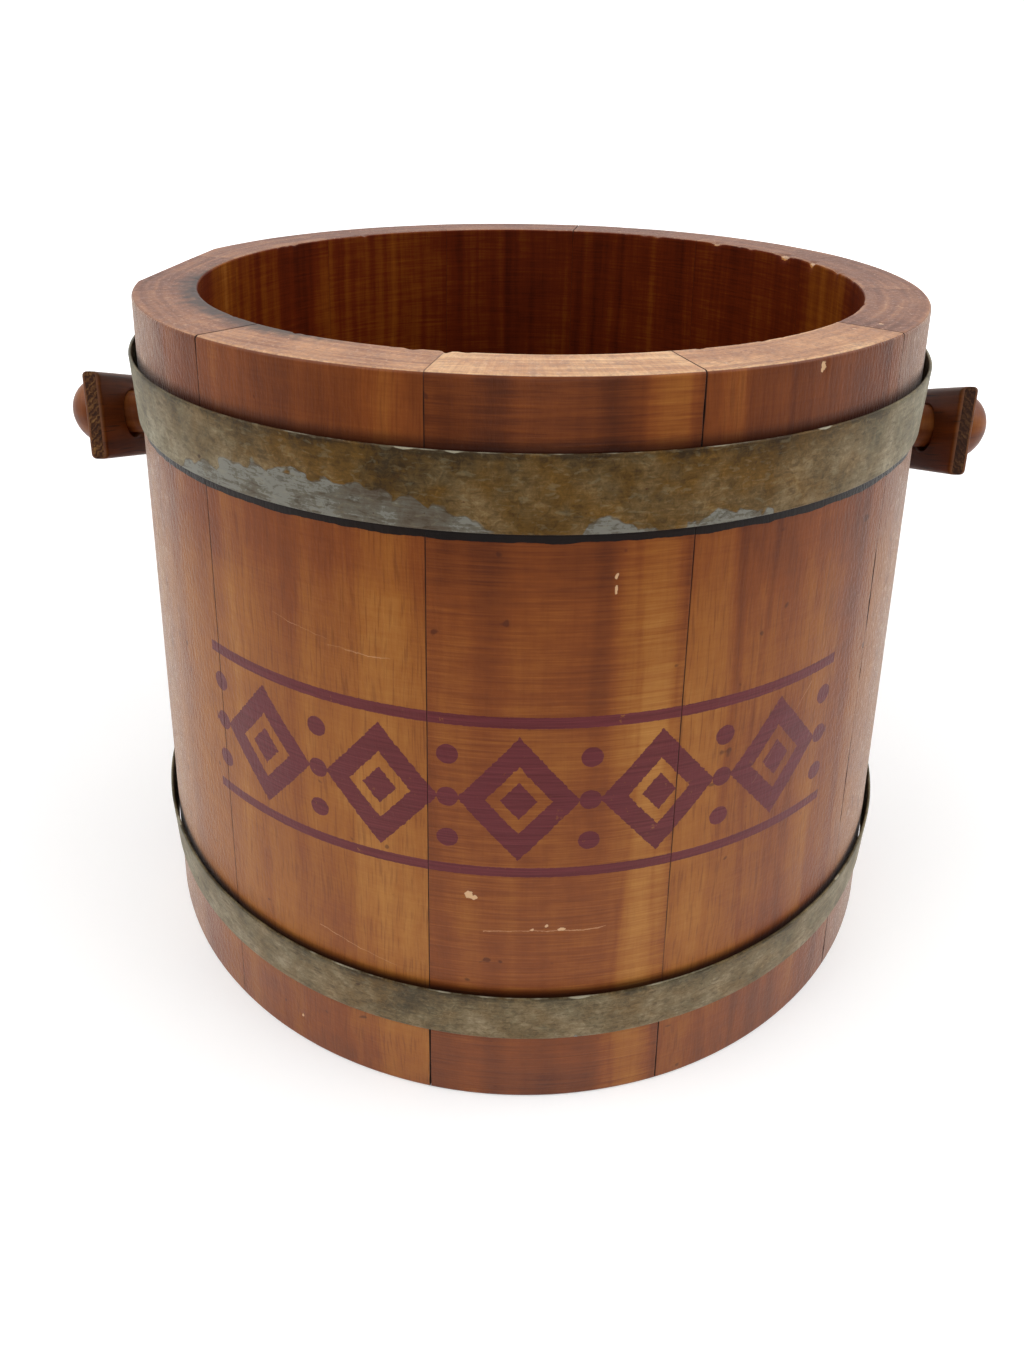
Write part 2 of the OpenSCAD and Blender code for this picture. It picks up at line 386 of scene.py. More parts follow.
def stencil_mask(tree, axes, place):
    """A row of open lozenges with a small one in each, dots between them and a stripe above and below."""
    ragged = put(tree, "MapRange", put(tree, "TexNoise", place, Scale=900.0, Detail=3.0), 0, 1, -0.05, 0.05)
    up = put(tree, "SUBTRACT", axes[1], STENCIL_Z)
    up_size = put(tree, "ABSOLUTE", up)
    aside = put(tree, "WRAP", axes[0], LOZENGE_PITCH / 2, -LOZENGE_PITCH / 2)
    aside_size = put(tree, "ABSOLUTE", aside)
    reach = summed(tree, (aside_size, 1 / LOZENGE_HALF[0]), (up_size, 1 / LOZENGE_HALF[1]), ragged)
    border = put(tree, "COMPARE", reach, *LOZENGE_BORDER)
    core = put(tree, "LESS_THAN", reach, LOZENGE_CORE)
    between = put(tree, "SUBTRACT", LOZENGE_PITCH / 2, aside_size)
    shapes = [core]
    for height in (up, put(tree, "SUBTRACT", up_size, DOT_UP)):
        spot = put(tree, "CombineXYZ", between, height)
        away = put(tree, "VectorMath", spot, operation="LENGTH").outputs["Value"]
        shapes.append(put(tree, "LESS_THAN", summed(tree, away, (ragged, RAGGED)), DOT_R))
    shapes.append(put(tree, "COMPARE", summed(tree, up_size, (ragged, RAGGED)), STRIPE_AT, STRIPE_HALF))
    mask = border
    for shape in shapes:
        mask = put(tree, "MAXIMUM", mask, shape)
    inside = put(tree, "LESS_THAN", put(tree, "ABSOLUTE", axes[0]), STENCIL_END)
    return put(tree, "MULTIPLY", mask, inside)


# Long scratches of the wall: ends as millimetres round from the front and up, and half width
SCRATCHES = [((-62, 137.6), (-46, 135), 0.1), ((-46, 133.8), (-30, 133.6), 0.12),
             ((-8, 61.2), (22, 61.6), 0.14), ((-52, 50), (-30, 44), 0.12), ((60, 95), (78, 118), 0.12),
             ((160, 60), (205, 72), 0.16), ((-220, 110), (-180, 96), 0.16), ((300, 130), (330, 124), 0.14)]


def turned_wall():
    """Softwood staves turned in a lathe and brushed with a red-brown stain and varnish: vertical grain
    under fine level tool lines, with an orange-peel gloss, and paler towards the sides with worn varnish
    and painted glare."""
    stops = [(0.0, "#2c0e03"), (0.25, "#5d2a0a"), (0.45, "#7f4014"), (0.62, "#9a5c21"), (0.8, "#b47a38"),
             (1.0, "#d2a162")]
    made, tree, shader, w = wood_of("turned wall, stained and varnished softwood", stops, grain=0.12,
                                    tooling=0.14, blotch=0.2, relief=0.05, fleck=0.35,
                                    Specular_IOR_Level=0.2, Coat_Weight=0.05, Coat_Roughness=0.25,
                                    Sheen_Weight=0.3, Sheen_Roughness=0.3)
    axes, place = w["axes"], w["place"]
    # Pale upright patches on the front's left and right: worn thin varnish, and in part painted glare
    thin_place = put(tree, "CombineXYZ", axes[0], put(tree, "MULTIPLY", axes[1], 0.4))
    thin = put(tree, "TexNoise", thin_place, Scale=190.0, Detail=9.0, Roughness=0.8)
    worn_and_glare = summed(tree, mark_of(tree, "worn"), (thin, 1.3))
    colour = over(tree, w["colour"], worn_and_glare, "#c9a585", 1.05, 2.0, 0.5)
    # Pits of the raised grain, short and upright, which catch the light at the sides
    pit_place = put(tree, "CombineXYZ", axes[0], put(tree, "MULTIPLY", axes[1], 0.3), place)
    pits = put(tree, "TexNoise", pit_place, Scale=1000 / 0.9, Detail=3.0, Roughness=0.6)
    # Pale flecks, painted glints of the glare at the sides, and dark dashes of the torn grain
    pale = summed(tree, mark_of(tree, "worn"), (pits, 4.0))
    colour = over(tree, colour, pale, "#e6cfb8", 3.15, 3.6, 0.45)
    dashes = put(tree, "TexNoise", pit_place, Scale=1000 / 2.4, Detail=1.5)
    torn = summed(tree, mark_of(tree, "worn"), (dashes, 5.0))
    colour = over(tree, colour, torn, "#6a3823", 4.1, 4.35, 0.45)
    # Small dark knots and stains
    knots = put(tree, "TexNoise", place, Scale=210.0, Detail=1.0)
    colour = over(tree, colour, knots, "#3a170a", 0.76, 0.79, 0.6)
    # Paint of the stencil, which shows the tool lines and is worn through in small places
    worn = put(tree, "TexNoise", place, Scale=420.0, Detail=6.0, Roughness=0.7)
    held = put(tree, "MapRange", worn, 0.30, 0.36, 0.2, 0.97)
    paint = put(tree, "MULTIPLY", stencil_mask(tree, axes, place), held)
    burgundy = put(tree, "ValToRGB", w["tools"], stops=[(0.3, "#54191f"), (0.7, "#6c2a31")])
    colour = over(tree, colour, paint, burgundy.outputs[0])
    # Long fine scratches, each a sloping line with a slight sway
    for start, stop, width in SCRATCHES:
        slope = (stop[1] - start[1]) / (stop[0] - start[0])
        level = summed(tree, axes[1], (axes[0], -slope), (w["patches"], 5 * MM))
        at = (start[1] - slope * start[0] + 2.5) * MM
        line = put(tree, "COMPARE", level, at, width * MM)
        middle, half = (start[0] + stop[0]) / 2 * MM, abs(stop[0] - start[0]) / 2 * MM
        stretch = put(tree, "COMPARE", axes[0], middle, half)
        broken = put(tree, "MapRange", w["patches"], 0.42, 0.55, 0.1, 0.5)
        mask = put(tree, "MULTIPLY", put(tree, "MULTIPLY", line, stretch), broken)
        colour = over(tree, colour, mask, "#d6a77c")
    # Dirt and painted shade above each hoop and under its top edge; a black ring painted under the upper
    # one
    for edge, reach in ((UPPER_HOOP_Z[1], 2.2 * MM), (LOWER_HOOP_Z[1], 1.8 * MM)):
        fading = put(tree, "MapRange", axes[1], edge + reach - 2.6 * MM, edge + reach, 0.8, 0.0)
        on_wall = put(tree, "GREATER_THAN", axes[1], edge - 4 * MM)
        colour = over(tree, colour, put(tree, "MULTIPLY", fading, on_wall), "#260a05")
    ragged = put(tree, "TexNoise", place, Scale=150.0, Detail=4.0)
    border = summed(tree, axes[1], (ragged, 1.2 * MM))
    low = put(tree, "GREATER_THAN", border, UPPER_HOOP_Z[0] - BLACK_RING + 0.6 * MM)
    high = put(tree, "LESS_THAN", axes[1], UPPER_HOOP_Z[0] + 1 * MM)
    ring = put(tree, "MULTIPLY", put(tree, "MULTIPLY", low, high), 0.97)
    colour = over(tree, colour, ring, "#090606")
    gloss = put(tree, "MapRange", w["patches"], 0.3, 0.7, 0.38, 0.5)
    raised = put(tree, "MapRange", mark_of(tree, "worn"), 0.0, 1.0, 0.15, 1.0)
    varnish = put(tree, "Bump", Height=put(tree, "MapRange", pits, 0.36, 0.6), Distance=0.16 * MM,
                  Strength=raised, Normal=w["bump"])
    feed(tree, shader, Base_Color=colour, Roughness=gloss, Normal=varnish, Coat_Normal=varnish)
    return made


def rim_wood():
    """End grain, sawn level and handled until the varnish wore off: brown to pale pinkish, with flat growth
    rings."""
    stops = [(0.0, "#3c2015"), (0.3, "#744b3a"), (0.5, "#96694f"), (0.75, "#c08f69"), (1.0, "#e3b98c")]
    made, tree, shader, w = wood_of("rim, worn end grain of softwood", stops, fibre=0.5, stretch=0.45,
                                    streak=1.7, grain=0.19, tooling=0.1, blotch=0.36, relief=0.06,
                                    fleck=0.4, bare="#e0bb98", seam=(0.04, 0.25, 0.7), Roughness=0.6,
                                    Specular_IOR_Level=0.3)
    rings = put(tree, "TexNoise", W=mark_of(tree, "ring"), Scale=1000 / 0.8, Detail=3.0,
                noise_dimensions="1D")
    lines = put(tree, "MapRange", rings, 0.4, 0.65, 0.0, 0.28)
    kept = put(tree, "MapRange", put(tree, "TexNoise", w["place"], Scale=120.0, Detail=4.0), 0.4, 0.6)
    colour = over(tree, w["colour"], put(tree, "MULTIPLY", lines, kept), "#64392a")
    dust = put(tree, "TexNoise", w["place"], Scale=300.0, Detail=8.0, Roughness=0.85)
    colour = over(tree, colour, dust, "#836960", 0.48, 0.62, 0.55)
    pale = put(tree, "TexNoise", w["place"], Scale=700.0, Detail=6.0, Roughness=0.85)
    colour = over(tree, colour, pale, "#dfbfa9", 0.54, 0.66, 0.5)
    soot = summed(tree, mark_of(tree, "grime"),
                  (put(tree, "TexNoise", w["place"], Scale=260.0, Detail=6.0), 1.1))
    colour = over(tree, colour, soot, "#3a3534", 0.75, 1.25, 0.85)
    feed(tree, shader, Base_Color=colour)
    return made


def inside_wood():
    """The inside of the staves, turned rough and stained dark, and darker still as painted shade inside the
    bucket: level tool lines over vertical streaks.
    """
    stops = [(0.0, "#1e0500"), (0.3, "#451201"), (0.5, "#652204"), (0.75, "#8a480e"), (1.0, "#b3702f")]
    return wood_of("inside, stained softwood in painted shade", stops, fibre=0.45, streak=4.0, grain=0.14, tooling=0.2,
                   blotch=0.16, relief=0.06, fleck=0.4, seam=(0.02, 0.12, 0.3), bare="#b0783f",
                   Roughness=0.55, Specular_IOR_Level=0.12)[0]


def joint_wood():
    """Sawn faces that stay hidden in the joints, and the foot: bare wood, dark with age."""
    stops = [(0.0, "#1a0a05"), (0.5, "#4a2917"), (1.0, "#7c5232")]
    return wood_of("joint, old bare softwood", stops, grain=0.2, Roughness=0.8)[0]


def board_wood():
    """Flat boards of the bottom, planed and stained, with dust along their joints."""
    stops = [(0.0, "#1c0803"), (0.3, "#481e0c"), (0.5, "#69371a"), (0.75, "#8d592b"), (1.0, "#b58350")]
    return wood_of("bottom board, planed and stained softwood", stops, streak=4.0, grain=0.12, tooling=0.02,
                   blotch=0.12, seam=(0.1, 1.2, 0.8), Roughness=0.6, Specular_IOR_Level=0.3)[0]


def hoop_steel():
    """Galvanised strip under a golden lacquer that has browned: fine streaks along the rolling, mottled
    lacquer, and bare grey zinc where it has peeled."""
    made, tree, shader, uv = finish_of("hoop, lacquered galvanised steel strip", Specular_IOR_Level=0.25)
    axes = put(tree, "SeparateXYZ", uv).outputs
    level = put(tree, "CombineXYZ", put(tree, "MULTIPLY", axes[0], 0.12), axes[1])
    rolling = put(tree, "TexNoise", level, Scale=1300.0, Detail=4.0, Roughness=0.7)
    mottle = put(tree, "TexNoise", uv, Scale=520.0, Detail=6.0, Roughness=0.75, Distortion=1.2)
    cloud = put(tree, "TexNoise", uv, Scale=90.0, Detail=4.0)
    tone = summed(tree, (mottle, 0.6), (rolling, 0.3), (cloud, 0.55), mark_of(tree, "tone"), 0.08)
    lacquer = put(tree, "ValToRGB", tone, stops=[(0.58, "#35240b"), (0.72, "#563c10"), (0.86, "#6e4e1c"),
                                                 (1.0, "#8a6c3a")])
    # Lacquer grey with age, and paler towards the sides as a painted reflection of bright light
    pale = put(tree, "ValToRGB", tone, stops=[(0.58, "#544e39"), (0.78, "#878066"), (0.98, "#b8b5a0")])
    scales = put(tree, "TexNoise", uv, Scale=150.0, Detail=4.0, Distortion=0.5)
    greyed = summed(tree, mark_of(tree, "greyed"), (scales, 0.7))
    lacquer = over(tree, lacquer, greyed, pale.outputs[0], 0.35, 1.35, 0.92)
    zinc = put(tree, "ValToRGB",
               summed(tree, (rolling, 0.7), (mottle, 0.5), (cloud, 0.8), (mark_of(tree, "tone"), 2.0)),
               stops=[(0.66, "#55463a"), (0.84, "#655c4f"), (1.0, "#6f6c61"), (1.25, "#84837a")])
    # The peel mark is the height in millimetres that a spot lies below the torn edge of the lacquer
    flakes = put(tree, "TexNoise", uv, Scale=210.0, Detail=1.5, Roughness=0.4, Distortion=0.7)
    lifted = summed(tree, mark_of(tree, "peel"),
                    put(tree, "MapRange", flakes, 0.0, 1.0, -3.4, 3.4, clamp=False))
    thinned = put(tree, "MapRange", rolling, 0.3, 0.7, -0.15, 0.15)
    bare = put(tree, "MapRange", summed(tree, lifted, thinned), -0.25, 0.2, 0.0, 0.94)
    lip = put(tree, "MapRange", put(tree, "ABSOLUTE", lifted), 0.05, 0.25, 0.35, 0.0)
    colour = over(tree, lacquer, bare, zinc.outputs[0])
    colour = over(tree, colour, lip, "#3d2c12")
    # Fine crazing of the lacquer along the rolling
    crazed_place = put(tree, "CombineXYZ", put(tree, "MULTIPLY", axes[0], 0.4), axes[1])
    crazed = put(tree, "TexNoise", crazed_place, Scale=1000 / 1.3, Detail=3.0, Roughness=0.6,
                 Distortion=0.6)
    colour = over(tree, colour, crazed, "#3a2a12", 0.56, 0.66, 0.42)
    colour = over(tree, colour, crazed, "#a39b7c", 0.44, 0.34, 0.15)
    # Rust specks, and bright wear along both edges, in part a painted highlight of their rounded edges
    specks = put(tree, "TexNoise", uv, Scale=700.0, Detail=2.0)
    colour = over(tree, colour, specks, "#43200f", 0.72, 0.78, 0.75)
    rusted = summed(tree, mark_of(tree, "rust"), (mottle, 0.8))
    colour = over(tree, colour, rusted, "#3b2113", 0.75, 0.95, 0.8)
    rub = summed(tree, mark_of(tree, "edge"), (put(tree, "TexNoise", uv, Scale=220.0, Detail=4.0), 0.8))
    colour = over(tree, colour, rub, "#a8a28c", 1.3, 1.5, 0.75)
    metal = put(tree, "MapRange", bare, 0.0, 1.0, 0.3, 0.6)
    rough = put(tree, "MapRange", mottle, 0.3, 0.7, 0.45, 0.6)
    bump = put(tree, "Bump", Height=summed(tree, (bare, -0.6), mottle), Distance=0.06 * MM)
    feed(tree, shader, Base_Color=colour, Metallic=metal, Roughness=rough, Normal=bump)
    return made


def rivet_steel():
    """Soft steel rivets, hammered over and dulled."""
    made, tree, shader, uv = finish_of("rivet, hammered mild steel", Metallic=0.85, Roughness=0.45)
    dents = put(tree, "TexVoronoi", uv, Scale=1000 / 1.4)
    dull = put(tree, "TexNoise", uv, Scale=900.0, Detail=5.0)
    colour = put(tree, "ValToRGB", dull, stops=[(0.3, "#3a352c"), (0.5, "#6d6858"), (0.75, "#9a9580")])
    bump = put(tree, "Bump", Height=dents.outputs[0], Distance=0.12 * MM)
    feed(tree, shader, Base_Color=colour, Normal=bump)
    return made


def peg_wood():
    """Turned hardwood pegs, stained red-brown, with open pores and rings left by the gouge."""
    stops = [(0.0, "#2c1106"), (0.3, "#54260c"), (0.5, "#743b13"), (0.75, "#975b26"), (1.0, "#bd8748")]
    return wood_of("peg, turned and stained hardwood", stops, fibre=0.5, stretch=0.12, streak=4.0,
                   grain=0.16, tooling=0.12, blotch=0.14, relief=0.04, seam=(-2.0, -1.0, 0.0),
                   Roughness=0.42, Specular_IOR_Level=0.25, Coat_Weight=0.05, Coat_Roughness=0.3)[0]


def bail_wood():
    """Steam-bent hardwood strip, stained dark brown: straight grain along the bend and long open pores."""
    stops = [(0.0, "#240c03"), (0.3, "#5a290a"), (0.5, "#7c4012"), (0.75, "#9a6024"), (1.0, "#b78444")]
    made, tree, shader, w = wood_of("bail, steam-bent and stained hardwood", stops, fibre=0.6,
                                    stretch=0.025, streak=5.0, grain=0.2, tooling=0.02, blotch=0.16,
                                    relief=0.05, seam=(-2.0, -1.0, 0.0), Roughness=0.5,
                                    Specular_IOR_Level=0.3)
    pores = put(tree, "TexNoise", w["fibre_place"], Scale=1000 / 0.45, Detail=1.0)
    colour = over(tree, w["colour"], pores, "#180b05", 0.62, 0.72, 0.7)
    rub = summed(tree, mark_of(tree, "edge"), (w["patches"], 0.8))
    colour = over(tree, colour, rub, "#6b4a27", 1.0, 1.5, 0.35)
    feed(tree, shader, Base_Color=colour)
    return made


def bail_ends():
    """Sawn ends of the bail: end grain of a ring-porous hardwood, speckled with pores."""
    made, tree, shader, uv = finish_of("bail end, sawn end grain", Roughness=0.75, Specular_IOR_Level=0.2)
    pores = put(tree, "TexWave", uv, Scale=330.0, Distortion=7.0, Detail=3.0, Detail_Scale=2.2,
                bands_direction="DIAGONAL")
    clumps = put(tree, "TexNoise", uv, Scale=420.0, Detail=4.0)
    mixed = summed(tree, clumps, (pores.outputs["Fac"], 0.35))
    colour = put(tree, "ValToRGB", mixed, stops=[(0.4, "#2a1408"), (0.62, "#452611"), (0.8, "#5c3a1c"),
                                                 (0.98, "#7d582f")])
    # The right end is painted darker than the left
    across = put(tree, "SeparateXYZ", put(tree, "TexCoord").outputs["Object"]).outputs[0]
    colour = over(tree, colour, across, "#2a1409", -10 * MM, 10 * MM, 0.6)
    bump = put(tree, "Bump", Height=mixed, Distance=0.12 * MM)
    feed(tree, shader, Base_Color=colour, Normal=bump)
    return made


# Staves

# Tones of the twelve staves, from dark to pale
STAVE_TONES = [0.55, 0.46, 0.50, 0.50, 0.44, 0.54, 0.42, 0.50, 0.46, 0.55, 0.48, 0.56]
# How strong the lathe's lines are on each stave
STAVE_TOOLED = [0.45, 1.5, 0.35, 0.3, 0.4, 0.6, 0.8, 0.4, 0.5, 0.9, 0.5, 0.3]
# Tones of the rim above each stave; the three front ones are paler, in part painted highlight and in part
# worn end grain
RIM_TONES = [0.62, 0.84, 0.68, 0.34, 0.32, 0.38, 0.32, 0.37, 0.33, 0.38, 0.33, 0.38]
# Tone that the wall gains or loses with height: heights in millimetres and tones
# It is darker round the upper hoop, in part painted shade of the hoop and in part worn finish
WALL_TONES = ([0, 14, 26, 60, 120, 142, 154, 160, 172, 193],
              [-0.10, -0.08, -0.01, 0.03, 0.05, 0.0, -0.1, -0.1, -0.16, -0.15])
# Paler or darker streaks of the wall: azimuth, half width in degrees, and tone
WALL_STREAKS = [(14.5, 3.4, 0.16), (5.0, 4.0, -0.05), (21.0, 2.2, 0.06), (-15.0, 3.6, 0.09),
                (-28.0, 5.0, -0.04), (-38.0, 2.0, 0.03), (33.0, 4.0, -0.05), (43.0, 1.2, -0.05),
                (24.6, 0.6, -0.07), (29.0, 0.4, -0.08), (36.5, 0.8, -0.06), (46.5, 0.9, -0.06),
                (-9.2, 0.8, -0.04), (12.6, 0.35, -0.06), (17.2, 0.3, -0.06), (-19.8, 0.5, -0.05),
                (-33.0, 0.5, -0.04), (75.0, 3.0, 0.08), (140.0, 5.0, 0.1), (151.0, 0.6, -0.07),
                (128.0, 0.5, -0.07), (200.0, 4.0, -0.1), (208.0, 0.6, 0.08), (262.0, 5.0, 0.12)]
# The same for the inside
INSIDE_STREAKS = [(-121.6, 5.0, -0.13), (-123.0, 1.8, -0.06), (-112.0, 6.0, 0.04), (-103.0, 4.0, 0.1),
                  (-94.0, 4.0, 0.16), (-135.0, 5.0, 0.03), (-146.0, 4.0, 0.08), (180.0, 14.0, 0.0),
                  (120.0, 6.0, 0.06), (100.0, 8.0, 0.14), (0.0, 6.0, 0.1), (45.0, 4.0, -0.15)]
# Tones of the inside of each stave
INSIDE_TONES = [0.50, 0.52, 0.50, 0.54, 0.52, 0.48, 0.46, 0.48, 0.54, 0.53, 0.53, 0.52]
# Nicks and gouges of the wall: azimuth in degrees, height and half sizes in millimetres
WALL_SCARS = [(9.9, 154.8, 0.6, 0.9), (10.0, 151.6, 0.35, 1.3), (-5.7, 72.1, 1.2, 1.4),
              (-4.9, 71.4, 0.8, 0.7), (1.9, 61.9, 1.0, 0.5), (3.6, 62.9, 0.5, 0.35), (5.4, 61.6, 1.3, 0.3),
              (33.9, 191.2, 0.9, 1.3), (-29.2, 10.1, 0.5, 1.0), (118.0, 88.0, 0.8, 2.0),
              (-150.0, 130.0, 2.6, 0.5), (170.0, 60.0, 1.2, 1.3), (-96.0, 105.0, 0.6, 2.2)]
# Nicks of the rim: azimuth in degrees, radius and half sizes in millimetres
RIM_SCARS = [(54.4, 97.8, 1.0, 0.7), (49.0, 95.2, 0.9, 0.6), (67.0, 98.2, 0.4, 3.4),
             (-140.0, 99.0, 0.8, 0.5), (160.0, 94.0, 0.7, 1.0)]
# Chips along the rim's inner edge: azimuth in degrees, half width and depth in millimetres
RIM_CHIPS = [(135.0, 3.0, 0.7), (126.0, 1.6, 0.4), (116.0, 3.6, 1.1), (107.0, 2.2, 1.0), (97.0, 3.0, 0.4),
             (150.0, 2.0, 0.4), (-140.0, 1.5, 0.3), (-33.0, 1.2, 0.3), (-10.3, 1.2, 0.5),
             (-121.0, 2.0, 0.35)]
# Joints that have opened: joint, from and to what height, and width, in millimetres
OPEN_JOINTS = [(1, 0, 26, 0.5), (1, 30, 190, 0.1), (0, 30, 190, 0.1), (2, 0, 26, 0.3), (2, 60, 175, 0.12),
               (2, 176, 190, 0.4), (3, 0, 23, 0.7), (3, 60, 88, 0.55), (3, 108, 111, 0.5),
               (3, 124, 142, 0.75), (3, 166, 176, 0.5), (6, 20, 90, 0.4), (8, 100, 193.2, 0.3),
               (10, 30, 120, 0.35)]
# Joints that have opened across the rim: joint and width in millimetres
RIM_SPLITS = {0: 0.45, 2: 0.2, 3: 0.3, 7: 0.3}
# Edges of a stave: its two faces and the radius
EASED_EDGES = [(side, end, RIM_EASE) for end in ("top", "foot") for side in ("out", "in")]
EASED_EDGES += [(face, side, JOINT_EASE)
                for face in ("out", "in", "top", "foot") for side in ("left", "right")]
# Materials of a stave's faces
OUTSIDE, RIM, INSIDE, HIDDEN = range(4)
# Width of the rim's pale edges, a painted highlight, reach of its chips, depth and half width of open
# joints, depth of scars
RIM_EDGE_HIGHLIGHT = 1.3 * MM
CHIP_REACH = 2.4 * MM
MOUTH_DEEP = 5 * MM
MOUTH_WIDE = 0.5 * MM
SCAR_DEEP = 0.3 * MM


def joint_angles():
    """Azimuths of the joints: four at the front, the rest of the round shared alike, and the first one
    again."""
    share = (360 - FRONT_JOINTS[-1] + FRONT_JOINTS[0]) / (STAVES - len(FRONT_JOINTS) + 1)
    more = [FRONT_JOINTS[-1] + (i + 1) * share for i in range(STAVES - len(FRONT_JOINTS))]
    return np.append(np.radians(FRONT_JOINTS + more), math.radians(FRONT_JOINTS[0]) + TURN)


def gap_at(joint, z):
    """Half the width that a joint has opened at a height."""
    wide = np.zeros_like(z)
    for which, low, high, width in OPEN_JOINTS:
        if which == joint % STAVES:
            opens = smooth(z, (low - 3) * MM, (low + 3) * MM)
            closes = smooth(z, (high - 3) * MM, (high + 3) * MM)
            wide += opens * (1 - closes) * width * MM / 2
    uneven = 0.75 + 0.4 * np.sin(z * TURN / (23 * MM) + joint) * np.sin(z * TURN / (9.7 * MM))
    return wide * uneven


def stave(index, start, stop, materials):
    """A block bent round the axis. Its faces are grids of a share across, a depth under the outer face and
    a height, and each point is moved in from the faces by the eased edges, the chips and the opened
    joints."""
    mean_arc = (stop - start) * MEAN_R
    near_edge = np.array([0, 0.05, 0.1, 0.3, 0.8, 1.8]) * MM
    shares = steps(mean_arc, 0.85 * MM, near_edge) / mean_arc
    near_rim = np.array([0, 0.2, 0.4, 0.6, 0.8, 1.4]) * MM
    deeps = steps(WALL, 0.8 * MM, near_rim)
    groove_top = BOTTOM_TOP + GROOVE_PLAY
    rows = steps(HEIGHT, 1.2 * MM, near_rim)
    rows = np.concatenate([rows[rows < CHIME], [CHIME] * 2, [groove_top] * 2, rows[rows > groove_top]])
    cuts = np.where((rows >= CHIME) & (rows <= groove_top), GROOVE_DEEP, 0.0)
    cuts[np.flatnonzero(cuts)[[0, -1]]] = 0

    def place(share, deep, z, cut):
        """Points of the block and their marks. deep runs from 0 outside to 1 inside."""
        share, deep, z, cut = np.broadcast_arrays(share, deep, z, cut)
        outer = wall_r(z)
        thick = WALL - cut
        angle = start + share * (stop - start)
        depth = {"out": deep * thick, "in": (1 - deep) * thick, "top": HEIGHT - z, "foot": z,
                 "left": share * (stop - start) * outer, "right": (1 - share) * (stop - start) * outer}
        push = {side: np.zeros_like(z) for side in depth}
        for a, b, radius in EASED_EDGES:
            for side, move in zip((a, b), eased(depth[a], depth[b], radius)):
                push[side] += move
        plain = polar(angle, outer - depth["out"], z)
        degrees = np.degrees(angle)
        # Flat worn across the rim's left side, which fades out downwards
        aside = off(degrees, RIM_FLAT_AT)
        chord = RIM_FLAT_R / np.cos(np.radians(np.clip(aside, -30, 30)))
        worn = np.clip(RIM_R - chord, 0, None) * smooth(z, RIM_FLAT_LOW, HEIGHT)
        push["out"] += worn * under(depth["out"], WALL)
        # Chips along the inner edge of the rim
        flat = plain * [1, 1, 0]
        chip = np.clip(ripple(flat, 7 * MM, 5) - 0.5, 0, 1) * 0.7 * MM
        chip += np.clip(ripple(flat, 2.6 * MM, 6) - 0.35, 0, 1) * 0.45 * MM
        jag = 1 + 0.25 * ripple(flat, 3.5 * MM, 8)
        for azimuth, half, deepest in RIM_CHIPS:
            spread = np.degrees(0.7 * half * MM / RIM_R)
            chip += deepest * MM * bump_at(off(degrees, azimuth), 0, spread) * jag
        chipped = chip * under(depth["in"], CHIP_REACH) * under(depth["top"], CHIP_REACH)
        push["top"] += chipped
        push["in"] += chipped * 0.8
        # Opened joints, widest at the outer face
        for side, joint in (("left", index), ("right", index + 1)):
            mouth = under(depth[side], MOUTH_WIDE)
            split = RIM_SPLITS.get(joint % STAVES, 0) * MM / 2
            push[side] += gap_at(joint, z) * under(depth["out"], MOUTH_DEEP) * mouth
            push[side] += split * under(depth["top"], MOUTH_DEEP) * mouth
        # Faint unevenness of the turned faces, and the dents of the scars
        face_out = under(depth["out"], MM)
        face_top = under(depth["top"], MM)
        push["out"] += face_out * (0.05 + 0.05 * ripple(plain, 30 * MM, 11)) * MM
        push["top"] += face_top * (0.06 + 0.06 * ripple(plain, 24 * MM, 12)) * MM
        scar = np.zeros_like(z)
        for azimuth, height, half_w, half_h in WALL_SCARS:
            away = np.radians(off(degrees, azimuth)) * outer
            scar += face_out * bump_at(away, 0, half_w * MM) * bump_at(z, height * MM, half_h * MM)
        for azimuth, radius, half_w, half_r in RIM_SCARS:
            away = np.radians(off(degrees, azimuth)) * outer
            inward = bump_at(outer - depth["out"], radius * MM, half_r * MM)
            scar += face_top * bump_at(away, 0, half_w * MM) * inward
        push["out"] += face_out * scar * SCAR_DEEP
        push["top"] += face_top * scar * SCAR_DEEP
        r = outer - depth["out"] - push["out"] + push["in"]
        height = z - push["top"] + push["foot"]
        angle = angle + (push["left"] - push["right"]) / outer
        # Distance from the tree's heart, which lay well outside the stave
        draw = np.random.default_rng(100 + index).uniform(-1, 1, 2)
        heart = polar((start + stop) / 2 + 0.05 * draw[1], MEAN_R + (150 + 40 * draw[0]) * MM, 0)
        ring = np.hypot(plain[..., 0] - heart[..., 0], plain[..., 1] - heart[..., 1])
        around = off(degrees, 0)
        grime_turn = smooth(around, -115, -62) * (1 - smooth(around, -38, -14))
        grime = face_top * grime_turn * under(depth["in"], 8 * MM)
        seam = np.minimum(depth["left"], depth["right"]) / MM
        # The worn mark is worn varnish and painted glare: pale on both sides, 63 degrees from the front
        marks = {"seam": seam, "scar": scar + chipped / MM * 0.95, "ring": ring, "grime": grime,
                 "lot": index * 0.37, "tooled": STAVE_TOOLED[index],
                 "worn": face_out * bump_at(np.abs(around), 63, 17)}
        return polar(angle, r, height), angle, height, depth, marks

    def tones(degrees, streaks, z, base):
        """Tone of a face: a base tone and the streaks, which sway a little with height."""
        tone = np.zeros(degrees.shape)
        for azimuth, half, much in streaks:
            sway = 0.8 * np.sin(z * TURN / (150 * MM) + azimuth)
            away = off(degrees + sway, azimuth)
            tone = tone + much * bump_at(away ** 2, 0, half ** 2)
        return tone + base

